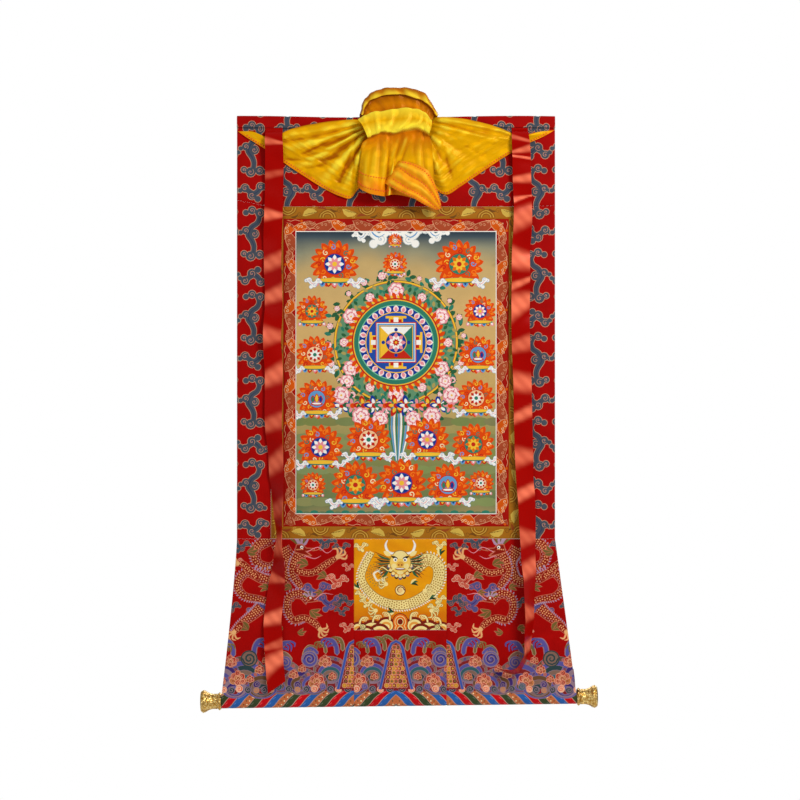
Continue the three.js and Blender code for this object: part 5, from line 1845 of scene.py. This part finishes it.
BUNCH = [
    # how far forward, the silk's colour there with its painted shade and highlight, and the line's points
    # from left to right
    (10, SHADE_AMBER, [(-64, -116), (-30, -122), (10, -124), (45, -122), (70, -112)]),
    (11, SHADE_AMBER, [(-76, -20), (-45, -18), (0, -16), (45, -16), (82, -18)]),
    (12, SHADOW_BRONZE, [(-77, 2), (-45, 24), (5, 28), (55, 22), (88, 0)]),
    (15, SHADOW_BRONZE, [(-76, 3), (-65, 35), (-34, 53), (12, 57), (60, 45), (89, 2)]),
    (21, dye(160, 84, 4), [(-75, 3), (-64, 37), (-34, 55), (12, 58.5), (60, 47), (89, 2)]),
    (29, SHADE_HONEY, [(-71, 0), (-64, 22), (-44, 36), (-2, 44), (36, 38), (68, 23), (87, -2)]),
    (23, SHADOW_BRONZE, [(-68, 2), (-60, 22), (-42, 37), (-2, 45), (34, 39), (64, 24), (82, 0)]),
    (24, SHADE_HONEY, [(-66, -4), (-54, 12), (-28, 22), (2, 27), (36, 22), (60, 8), (76, -10)]),
    (32, SHADE_AMBER, [(-68, -10), (-46, 0), (-22, 3), (4, 5), (36, 4), (57, -3), (72, -16)]),
    (41, SHADE_HONEY, [(-73, -8), (-52, 0), (-26, 5), (6, 9), (38, 8), (57, 2), (72, -14)]),
    (46, HIGHLIGHT_SILK, [(-79, -12), (-55, 1), (-26, 6), (7, 11), (38, 11), (58, 4), (75, -14)]),
    (52, SILK, [(-71, -24), (-50, -18), (-26, -14), (6, -12), (38, -11), (58, -15), (75, -27)]),
    (53, HIGHLIGHT_SILK, [(-60, -49), (-45, -43), (-26, -36), (-7, -39), (20, -32), (50, -29), (70, -41)]),
    (42, SHADE_AMBER, [(-60, -51), (-45, -46), (-26, -40), (-7, -43), (20, -38), (50, -36), (70, -47)]),
    (40, SHADE_HONEY, [(-71, -62), (-46, -58), (-25, -56), (-6, -58), (20, -56), (48, -56), (75, -60)]),
]
FALLS = [
    # top x, hem x, how far forward, hem z
    (-71, -82, 25, -146), (-65, -74, 38, -157), (-49, -55, 47, -167), (-28, -36, 45, -171),
    (-16, -27, 41, -172), (-12, -22, 31, -171), (0, -14, 45, -170), (7, -7, 34, -168), (22, 12, 38, -170),
    (44, 40, 43, -178), (62, 66, 41, -186), (75, 84, 30, -188),
]
FALLS_TOP = -57
TURNED_HEM = [
    [
        (4, -98, 34), (12, -99, 47), (38, -104, 50), (67, -120, 49), (84, -152, 42), (94, -194, 34),
        (81, -184, 21)
    ],
    [
        (0, -108, 34), (8, -107, 51), (34, -117, 55), (60, -136, 53), (80, -164, 46), (94, -196, 35),
        (81, -185, 21)
    ],
    [
        (-3, -113, 34), (6, -114, 47), (31, -131, 49), (56, -146, 48), (79, -172, 43), (94, -197, 34),
        (80, -185, 21)
    ],
    [
        (-9, -120, 34), (-1, -124, 49), (24, -143, 53), (52, -158, 52), (77, -180, 45), (92, -198, 34),
        (79, -185, 21)
    ],
    [
        (-15, -128, 34), (-8, -134, 46), (18, -152, 48), (46, -167, 47), (74, -187, 41), (90, -199, 33),
        (78, -185, 21)
    ],
    [
        (-20, -136, 34), (-13, -142, 48), (13, -158, 51), (42, -172, 49), (70, -190, 42), (88, -199, 33),
        (77, -185, 21)
    ],
    [
        (-24, -144, 34), (-18, -149, 44), (8, -164, 46), (37, -177, 45), (66, -193, 40), (86, -200, 32),
        (76, -185, 20)
    ],
]
print("guide lines:", len(LEFT_WING) + len(RIGHT_WING) + len(BUNCH) + len(TURNED_HEM))

# %% Wings, bunch and turned hem
WING_GRID = (90, 116)
WING_STATIONS = (0, 0.12, 0.3, 0.5, 0.62, 0.7, 0.78, 0.88, 1)
BUNCH_GRID = (108, 152)


def creased(middle, lines):
    """Presses in listed folds: x, z of both ends, depth and half width."""
    for x0, z0, x1, z1, depth, reach in lines:
        run = np.array([x1 - x0, z1 - z0], float)
        t = np.clip(((middle[..., 0] - x0) * run[0] + (middle[..., 2] - z0) * run[1]) / (run @ run), 0, 1)
        side = ((middle[..., 0] - x0) * run[1] - (middle[..., 2] - z0) * run[0]) / np.hypot(*run)
        gap = np.hypot(middle[..., 0] - x0 - t * run[0], middle[..., 2] - z0 - t * run[1])
        fade = np.exp(-((gap / reach) ** 2)) * (0.35 + 0.65 * np.sin(math.pi * np.clip(t, 0.02, 0.98)))
        middle = middle + np.stack([0 * t, depth * fade * (0.6 + 0.4 * np.tanh(side / reach)), 0 * t], -1)
    return middle


def wing(folds, turn, lines):
    rows = []
    for from_x, from_z, to_x, to_z, forward, sag, lift, press in folds:
        s = np.array(WING_STATIONS)
        bulge = forward * np.where(s < 1, np.maximum(0, np.sin(math.pi * s**0.6)) ** 0.8, 0.12)
        y = np.where(s > 0, -(15 - 11 * s**0.7) - bulge, -8)
        x = from_x - math.copysign(14, from_x) + (to_x - from_x + math.copysign(14, from_x)) * s
        pressed = press / (1 + ((np.abs(x) - 260) / 25) ** 6)
        z = from_z + (to_z - from_z) * s - sag * 4 * s * (1 - s) + lift * np.sin(2 * math.pi * s) - pressed
        rows.append(np.stack([x, y, z], -1))
    return wrinkled(wrinkled(creased(loft(rows, *WING_GRID), lines), 0.7, 1.4, 3, turn), 0.28, 4, 9, turn + 1)


# Painted shade: the colour that the veil's folds are painted in.
FOLD_SHADE = dye(170, 90, 0)


def silk_painted_light(middle, base, depth, passes=32):
    # Painted shade and painted highlight: points that lie behind the cloth around them are painted a deeper
    # orange, and points that stand out are painted pale yellow.
    painted_shade_share = smooth(hollows(middle, passes), 0.05, depth)[..., None]
    high = smooth(-hollows(middle, passes), 0.2, depth)[..., None]
    shade = base * (1 - painted_shade_share) + np.array(FOLD_SHADE) * painted_shade_share
    return shade * (1 - 0.85 * high) + np.array(HIGHLIGHT_SILK) * 0.85 * high


def bunch():
    lines = [[(x, -forward, z) for x, z in points] for forward, _, points in BUNCH]
    # Each guide line's colour with its painted shade and highlight; the falls are plain silk and hem.
    shades = [shade for _, shade, _ in BUNCH]
    for share in (0.3, 0.62, 0.84, 1):
        spread = math.sin(math.pi / 2 * share)
        lines.append(
            [
                (
                    a + (b - a) * share, -(39 + (f - 39) * spread) + 3 * share,
                    FALLS_TOP + (h - FALLS_TOP) * share
                )
                for a, b, f, h in FALLS
            ]
        )
        shades.append(SILK if share < 0.8 else HEM_SILK)
    middle = creased(loft(lines, *BUNCH_GRID), BUNCH_CREASES)
    at = np.linspace(0, len(lines) - 1, BUNCH_GRID[1] + 1)
    base = np.stack([np.interp(at, range(len(lines)), [s[k] for s in shades]) for k in range(3)], -1)
    folded = wrinkled(wrinkled(middle, 0.7, 2, 6, 1.2), 0.15, 6, 11, 2.2)
    return folded, np.repeat(base[:, None], BUNCH_GRID[0] + 1, 1)


HEM_SILK = dye(238, 134, 8)
LEFT_CREASES = [
    (-128, -47, -198, -80, 3.6, 4), (-196, -84, -120, -66, 4.2, 4.5), (-240, -87, -184, -94, 3.4, 4),
    (-184, -94, -116, -84, 3.6, 5), (-75, -31, -118, -138, 3.4, 4), (-84, -60, -92, -160, 3.0, 4),
    (-250, -52, -150, -44, 2.6, 5), (-210, -112, -150, -100, 2.4, 4),
]
RIGHT_CREASES = [
    (90, -8, 250, -40, 3.0, 3.2), (92, -14, 240, -54, 2.6, 3.4), (96, -30, 200, -92, 2.2, 6),
    (118, -160, 190, -108, 2.4, 5),
    (100, -60, 120, -130, 2.6, 5), (210, -60, 280, -52, 2.0, 5), (150, -60, 236, -96, 1.6, 7),
]
BUNCH_CREASES = [
    (16, -44, -14, -124, 5, 4), (30, -50, 6, -118, 4, 3.6), (-50, -70, -58, -140, 3, 5),
    (55, -60, 66, -150, 3.4, 5), (-30, -60, -34, -150, 2.6, 6),
    (-20, -30, 12, -39, 2.4, 3), (12, -36, 56, -26, 3, 3), (59, -26, 60, -58, 4, 3.4),
    (-44, 12, 40, 18, 2.2, 5), (40, -64, 44, -120, 2.4, 5),
]
sheets, hems = [], []
for folds, turn, lines in ((LEFT_WING, 0.4, LEFT_CREASES), (RIGHT_WING[::-1], 2.1, RIGHT_CREASES)):
    middle = wing(folds, turn, lines)
    hemmed = smooth(np.linspace(0, 1, WING_GRID[0] + 1), 0.965, 0.99)[None, :, None]
    base = np.array(SILK) * (1 - hemmed) + np.array(HEM_SILK) * hemmed
    sheets.append((middle, silk_painted_light(middle, base, 2.2)))
    hems.append(middle[7:-7, -4])
middle, base = bunch()
sheets.append((middle, silk_painted_light(middle, base, 3.5, 48)))
hems += [middle[-16, 2:-2], middle[-6, 2:-2]]
middle = loft([[(x, -forward, z) for x, z, forward in line] for line in TURNED_HEM], 60, 56)
sheets.append((middle, silk_painted_light(middle, np.array(dye(238, 150, 18)), 1.6, 16)))
hems += [middle[row, 12:-2] for row in (3, 18, 38, 53)]
SILK_THICKNESS = 0.9
VEIL_LUSTRE = 0.5
silk = fabric("veil_silk", 0.34, 0.5, 0.0, thread=0.35, rib=0.12, fade=0.07, damask=0.09, tinted=0.95)
grids = [(middle, shades, np.full(middle.shape[:2], VEIL_LUSTRE)) for middle, shades in sheets]
veil = draped("veil_cloth", grids, SILK_THICKNESS, [silk])

# %% [markdown]
# ## Hem stitches and beads
# A hem is sewn with hundreds of even stitches, and the caps carry rings of chased beads. Both
# follow a path, so one Geometry Nodes tree sets a small rounded grain along any path, at a pitch,
# a length and a thickness that are its inputs, with a slight fixed scatter. The result is made a
# plain mesh, because instances would be lost on export.

# %% The tree of grains along a path


def grain_tree():
    tree = bpy.data.node_groups.new("grains_on_a_path", "GeometryNodeTree")
    tree.is_modifier = True
    tree.interface.new_socket("Geometry", in_out="OUTPUT", socket_type="NodeSocketGeometry")
    tree.interface.new_socket("Path", in_out="INPUT", socket_type="NodeSocketGeometry")
    for label, kind in (
        ("Pitch", "Float"), ("Length", "Float"), ("Thickness", "Float"), ("Scatter", "Float"),
        ("Seed", "Int"), ("Finish", "Material")
    ):
        tree.interface.new_socket(label, in_out="INPUT", socket_type=f"NodeSocket{kind}")
    made = {}
    for label, kind in (
        ("given", "NodeGroupInput"), ("curve", "GeometryNodeMeshToCurve"),
        ("even", "GeometryNodeResampleCurve"), ("grain", "GeometryNodeMeshIcoSphere"),
        ("tangent", "GeometryNodeInputTangent"), ("align", "FunctionNodeAlignRotationToVector"),
        ("size", "ShaderNodeCombineXYZ"),
        ("random", "FunctionNodeRandomValue"), ("scale", "ShaderNodeVectorMath"),
        ("place", "GeometryNodeInstanceOnPoints"),
        ("real", "GeometryNodeRealizeInstances"), ("soft", "GeometryNodeSetShadeSmooth"),
        ("finish", "GeometryNodeSetMaterial"), ("out", "NodeGroupOutput"),
    ):
        made[label] = tree.nodes.new(kind)
    made["even"].mode = "LENGTH"
    made["align"].axis = "X"
    made["grain"].inputs["Radius"].default_value = 0.5
    made["grain"].inputs["Subdivisions"].default_value = 2
    made["scale"].operation = "SCALE"
    made["random"].inputs[3].default_value = 1.0
    low = tree.nodes.new("ShaderNodeMath")
    low.operation = "SUBTRACT"
    low.inputs[0].default_value = 1.0
    for source, out, target, into in (
        ("given", "Path", "curve", "Mesh"), ("curve", "Curve", "even", "Curve"),
        ("given", "Pitch", "even", "Length"), ("even", "Curve", "place", "Points"),
        ("grain", "Mesh", "place", "Instance"), ("tangent", "Tangent", "align", "Vector"),
        ("align", "Rotation", "place", "Rotation"),
        ("given", "Length", "size", "X"), ("given", "Thickness", "size", "Y"),
        ("given", "Thickness", "size", "Z"), ("size", "Vector", "scale", "Vector"),
        ("scale", "Vector", "place", "Scale"), ("given", "Seed", "random", "Seed"),
        ("place", "Instances", "real", "Geometry"),
        ("real", "Geometry", "soft", "Geometry"), ("soft", "Geometry", "finish", "Geometry"),
        ("given", "Finish", "finish", "Material"), ("finish", "Geometry", "out", "Geometry"),
    ):
        tree.links.new(made[source].outputs[out], made[target].inputs[into])
    tree.links.new(made["given"].outputs["Scatter"], low.inputs[1])
    tree.links.new(low.outputs[0], made["random"].inputs[2])
    tree.links.new(made["random"].outputs[1], made["scale"].inputs["Scale"])
    return tree


GRAINS = grain_tree()


def grains(name, paths, pitch, length, thickness, finish, scatter=0.15, seed=3):
    """A plain mesh of grains along paths of points in millimetres."""
    verts, edges = [], []
    for path in paths:
        edges += [(len(verts) + i, len(verts) + i + 1) for i in range(len(path) - 1)]
        verts += [tuple(np.array(p) * MM) for p in path]
    mesh = bpy.data.meshes.new(name)
    mesh.from_pydata(verts, edges, [])
    thing = bpy.data.objects.new(name, mesh)
    scene.collection.objects.link(thing)
    modifier = thing.modifiers.new("grains", "NODES")
    modifier.node_group = GRAINS
    values = {
        "Pitch": pitch * MM, "Length": length * MM, "Thickness": thickness * MM, "Scatter": scatter,
        "Seed": seed, "Finish": finish
    }
    for item in GRAINS.interface.items_tree:
        if item.in_out == "INPUT" and item.name in values:
            modifier[item.identifier] = values[item.name]
    plain = bpy.data.meshes.new_from_object(thing.evaluated_get(bpy.context.evaluated_depsgraph_get()))
    thing.modifiers.clear()
    thing.data = plain
    print(f"{name}: {len(plain.polygons)} faces")
    return thing


def thread_finish(name, colour, rough):
    material, tree, shader = new_material(name, Roughness=rough)
    place = add(tree, "ShaderNodeTexCoord")
    noise = add(tree, "ShaderNodeTexNoise", Scale=700)
    shades = ramp(tree, [c * 0.7 for c in colour], [c * 1.2 for c in colour])
    wire(
        tree, (place, "Object", noise, "Vector"), (noise, "Fac", shades, "Fac"),
        (shades, "Color", shader, "Base Color")
    )
    return material


# %% Stitches along the veil's hems
hem_thread = thread_finish("hem_thread", dye(240, 78, 0), 0.5)
FRONT_LIFT = np.array([0, -1.1, 0])
STITCH_PITCH, STITCH_LENGTH, STITCH_THICKNESS = 5.6, 3.4, 2.6
hem_paths = [hem + FRONT_LIFT for hem in hems]
veil_stitches = grains("veil_stitches", hem_paths, STITCH_PITCH, STITCH_LENGTH, STITCH_THICKNESS, hem_thread)
VEIL_WIDTH = 0.70
veil_length = half_surface(veil) / VEIL_WIDTH
for thing in (veil, veil_stitches):
    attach(thing, "root")
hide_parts("veil")
print("veil cut:", VEIL_WIDTH, "by", round(veil_length, 3), "m")

# %% [markdown]
# ## The ribbons
# Two flat satin ribbons hang from under the heading, bend over the veil and twist slowly on
# their way down. Satin is nearly a mirror along its floats, so each slight kink shows as a bright
# slanting facet. The facets are listed one by one, and each one tilts the cloth up to the light.
# Each also carries a painted highlight: its satin is painted from deep red towards pale salmon.

# %% Ribbon tables: height, middle, forward, turn in degrees, open share
LEFT_RIBBON = [
    (-17, -258, 3.6, 0, 0.92), (-27, -258, 3.9, 0, 0.92), (-38, -258, 13.5, 0, 0.94),
    (-50, -258, 19, 1, 0.96), (-70, -257, 19, 2, 0.98), (-105, -257, 13, -3, 1), (-165, -258, 9, 3, 1),
    (-215, -259, 14, -6, 1), (-262, -261, 8, 4, 1), (-330, -260, 9, 18, 1), (-400, -258, 9, 12, 1),
    (-470, -262, 10, -16, 1), (-545, -258, 9, 8, 1), (-640, -259, 9, 20, 1), (-730, -253, 7, 34, 1),
    (-820, -249, 7, 52, 1), (-890, -246, 8, 71, 1), (-950, -247, 8, 46, 1), (-1005, -253, 9, 22, 1),
    (-1060, -260, 9, 14, 1), (-1115, -259, 11, -8, 1), (-1165, -256, 9, 6, 1), (-1207, -252, 11, -6, 1),
]
RIGHT_RIBBON = [
    (-17, 262, 3.6, 0, 0.84), (-27, 262, 3.9, 0, 0.86), (-35, 262, 15, 0, 0.9), (-52, 263, 21, 2, 0.96),
    (-84, 265, 14, -4, 1), (-130, 266, 15, 4, 1), (-185, 268, 8, -10, 1), (-230, 268, 13, 8, 1),
    (-290, 264, 8, -10, 1), (-350, 264, 13, 12, 1), (-415, 263, 9, -8, 1), (-480, 264, 13, 10, 1),
    (-560, 267, 9, -8, 1), (-660, 269, 13, 6, 1), (-760, 272, 8, -14, 1), (-840, 277, 9, -20, 1),
    (-910, 278, 8, -32, 1), (-980, 281, 8, -46, 1), (-1050, 281, 8, -58, 1), (-1105, 278, 8, -66, 1),
    (-1145, 271, 7, -76, 0.95), (-1171, 254, 7, -78, 0.9), (-1173, 233, 7, -70, 0.72),
    (-1166, 213, 7, -62, 0.3),
]
# facets tilted to the light and given a painted highlight: the upper edge at the left and right, the lower
# edge at the left and right, strength
LEFT_FACETS = [
    (-44, -56, -60, -62, 0.7), (-118, -112, -134, -124, 0.35), (-196, -204, -222, -214, 0.9),
    (-300, -286, -330, -318, 0.7), (-372, -356, -398, -388, 0.8), (-446, -452, -486, -476, 0.6),
    (-540, -520, -574, -560, 0.8), (-640, -626, -668, -660, 0.6), (-724, -700, -760, -744, 0.7),
    (-820, -806, -850, -846, 0.5), (-890, -880, -930, -922, 0.8), (-966, -974, -990, -982, 0.6),
    (-1056, -1037, -1078, -1070, 1.0), (-1118, -1104, -1128, -1126, 0.5), (-1143, -1128, -1180, -1161, 1.0),
]
RIGHT_FACETS = [
    (-38, -52, -48, -58, 0.6), (-72, -62, -78, -77, 0.8), (-81, -88, -86, -93, 0.9),
    (-128, -122, -140, -141, 0.9), (-170, -167, -183, -168, 0.9), (-200, -186, -246, -226, 0.8),
    (-278, -290, -321, -326, 0.9), (-352, -340, -370, -350, 0.95), (-378, -372, -432, -404, 1.0),
    (-476, -462, -500, -494, 0.7), (-540, -548, -580, -584, 0.8), (-628, -610, -650, -634, 0.9),
    (-700, -706, -742, -730, 0.7), (-790, -776, -816, -800, 0.9), (-870, -880, -910, -900, 0.6),
    (-946, -930, -980, -966, 0.8), (-1030, -1040, -1066, -1060, 0.7), (-1110, -1100, -1136, -1128, 0.8),
]
print("facets:", len(LEFT_FACETS), len(RIGHT_FACETS))

# %% Satin and the two ribbons
RIBBON_WIDTH = 39
SATIN_THICKNESS = 0.8
SATIN_LUSTRE = 0.8
FACET_DEPTH = 2.6
DEEP_SATIN = np.array(dye(158, 4, 0))
# Painted highlight: the pale salmon that the bright facets are painted in.
HIGHLIGHT_SATIN = np.array(dye(255, 126, 90))


def ribbon(name, node, table, facets, steps, slant, dip):
    rows = np.array(table, float)
    turned = RIBBON_WIDTH * rows[:, 4] * np.abs(np.sin(np.radians(rows[:, 3]))) / 2
    path = spline(np.stack([rows[:, 1], -rows[:, 2] - turned, rows[:, 0]], -1), steps)
    turn, share = spline(np.stack([np.radians(rows[:, 3]), rows[:, 4]], -1), steps, 0).T
    ahead = unit(np.gradient(path, axis=0))
    face = np.stack([np.cos(turn), -np.sin(turn), -dip * smooth(-path[:, 2], 1105, 1150)], -1)
    across = unit(face - (face * ahead).sum(-1, keepdims=True) * ahead)
    sides = np.linspace(-1, 1, 15)[None, :, None]
    cut = slant * smooth(np.linspace(0, 1, steps + 1), 0.93, 1)[:, None, None]
    half_width = (RIBBON_WIDTH * share / 2)[:, None, None]
    middle = path[:, None] + across[:, None] * sides * half_width - ahead[:, None] * sides * cut
    u, z = (sides[0, :, 0] + 1) / 2, path[:, None, 2]
    painted_highlight, push = 0 * (u + z), 0 * (u + z)
    for top_left, top_right, low_left, low_right, strength in facets:
        top, low = top_left + (top_right - top_left) * u, low_left + (low_right - low_left) * u
        t = (top - z) / np.maximum(top - low, 3)
        painted_highlight = np.maximum(painted_highlight, strength * smooth(t, -0.25, 0.35) * (1 - smooth(t, 0.6, 1.25)))
        push = push + FACET_DEPTH * strength * np.clip(t, 0, 1) * np.exp(-np.maximum(0, low - z) / 9)
    push = push * smooth(-z, 40, 60) + 0.5 * np.sin(z / 21 + 3 * u) * smooth(-z, 60, 120)
    middle = middle + facing(middle) * push[..., None]
    # Painted highlight: each facet's satin is painted from the deep red towards pale salmon, on top of its
    # real tilt to the light.
    painted_highlight = np.clip(painted_highlight * (0.86 + 0.14 * np.sin(z / 5 + 9 * u)), 0, 1)[..., None]
    colour = DEEP_SATIN * (1 - painted_highlight) + HIGHLIGHT_SATIN * painted_highlight
    lustre = np.full(middle.shape[:2], SATIN_LUSTRE)
    thing = draped(name, [(middle, colour, lustre)], SATIN_THICKNESS, [satin])
    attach(thing, "root")
    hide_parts(node)


satin = fabric("ribbon_satin", 0.42, 0.4, 0.0, thread=0.3, rib=0.06, fade=0.04, tinted=0.9)
ribbon("ribbon_left_cloth", "ribbon_left", LEFT_RIBBON, LEFT_FACETS, 460, 11, 0)
ribbon("ribbon_right_cloth", "ribbon_right", RIGHT_RIBBON, RIGHT_FACETS, 480, 0, 0.42)

# %% [markdown]
# ## Rod and caps
# The rod and its two caps are carried over from the solids as they are. The brass is chased with
# small flowers, which a cell pattern in bump can show, darkened in its hollows by old polish. The
# bead rings stand proud of the metal, so they are real and set by the same tree as the stitches.

# %% Brass and wood


def chased_brass():
    material, tree, shader = new_material("chased_brass", Metallic=1.0)
    place = add(tree, "ShaderNodeTexCoord")
    cells = add(tree, "ShaderNodeTexVoronoi", Scale=190)
    petals = add(tree, "ShaderNodeTexVoronoi", Scale=520)
    worn = add(tree, "ShaderNodeTexNoise", Scale=60, Detail=4)
    relief = add(tree, "ShaderNodeMath", {"operation": "MULTIPLY_ADD"})
    relief.inputs[1].default_value = 0.4
    shades = ramp(tree, (1.0, 0.78, 0.32), (0.5, 0.26, 0.04), (0.25, 0.95))
    rough = add(tree, "ShaderNodeMapRange", To_Min=0.18, To_Max=0.42)
    bump = add(tree, "ShaderNodeBump", {"invert": True}, Strength=0.9, Distance=0.0012)
    for node in (cells, petals, worn):
        wire(tree, (place, "Object", node, "Vector"))
    wire(
        tree, (petals, "Distance", relief, 0), (cells, "Distance", relief, 2), (relief, 0, shades, "Fac"),
        (shades, "Color", shader, "Base Color"), (worn, "Fac", rough, "Value"),
        (rough, 0, shader, "Roughness"),
        (relief, 0, bump, "Height"), (bump, "Normal", shader, "Normal"),
    )
    return material


def turned_wood():
    material, tree, shader = new_material("turned_wood", Roughness=0.55)
    place = add(tree, "ShaderNodeTexCoord")
    stretch = add(tree, "ShaderNodeMapping", Scale=(3, 60, 60))
    noise = add(tree, "ShaderNodeTexNoise", Scale=6, Detail=5)
    shades = ramp(tree, (0.16, 0.075, 0.03), (0.42, 0.24, 0.11))
    wire(
        tree, (place, "Object", stretch, "Vector"), (stretch, 0, noise, "Vector"),
        (noise, "Fac", shades, "Fac"), (shades, "Color", shader, "Base Color"),
    )
    return material


brass, wood = chased_brass(), turned_wood()
for name, material in (("rod_cap_left", brass), ("rod_cap_right", brass), ("bottom_rod", wood)):
    solid = frame["nodes"][name]
    solid.data.materials.clear()
    solid.data.materials.append(material)

# %% Bead rings and ribs on the caps
CAP_RINGS = [(3.5, 18.0, 2.2), (9.0, 15.7, 1.5), (37.5, 23.1, 2.4), (42.0, 19.5, 1.6)]
CAP_PROFILE = [(11, 15.7), (18, 15.7), (22.5, 16.8), (27, 18.3), (31, 20.8), (34, 22.6)]
CAP_RIBS = 16


def cap_point(side, along_axis, radius, angle):
    end = float(left_edge(ROD_Z) if side < 0 else right_edge(ROD_Z))
    x = end + side * (0.6 + along_axis)
    return (x, SLEEVE + radius * math.cos(angle), float(rod_z(x)) + radius * math.sin(angle))


for side, node in ((-1, "left"), (1, "right")):
    for k, (out, radius, thickness) in enumerate(CAP_RINGS):
        ring = [cap_point(side, out, radius, 2 * math.pi * i / 72) for i in range(73)]
        beads = grains(f"cap_beads_{node}_{k}", [ring], thickness * 1.06, thickness, thickness, brass, 0.05)
        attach(beads, "root")
    ribs = []
    for i in range(CAP_RIBS):
        turns = [2 * math.pi * (i + 0.35 * math.sin(out / 7)) / CAP_RIBS for out, _ in CAP_PROFILE]
        ribs.append([cap_point(side, *place, turn) for place, turn in zip(CAP_PROFILE, turns)])
    chased = grains(f"cap_ribs_{node}", ribs, 2.6, 3.0, 1.5, brass, 0.25, 5)
    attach(chased, "root")
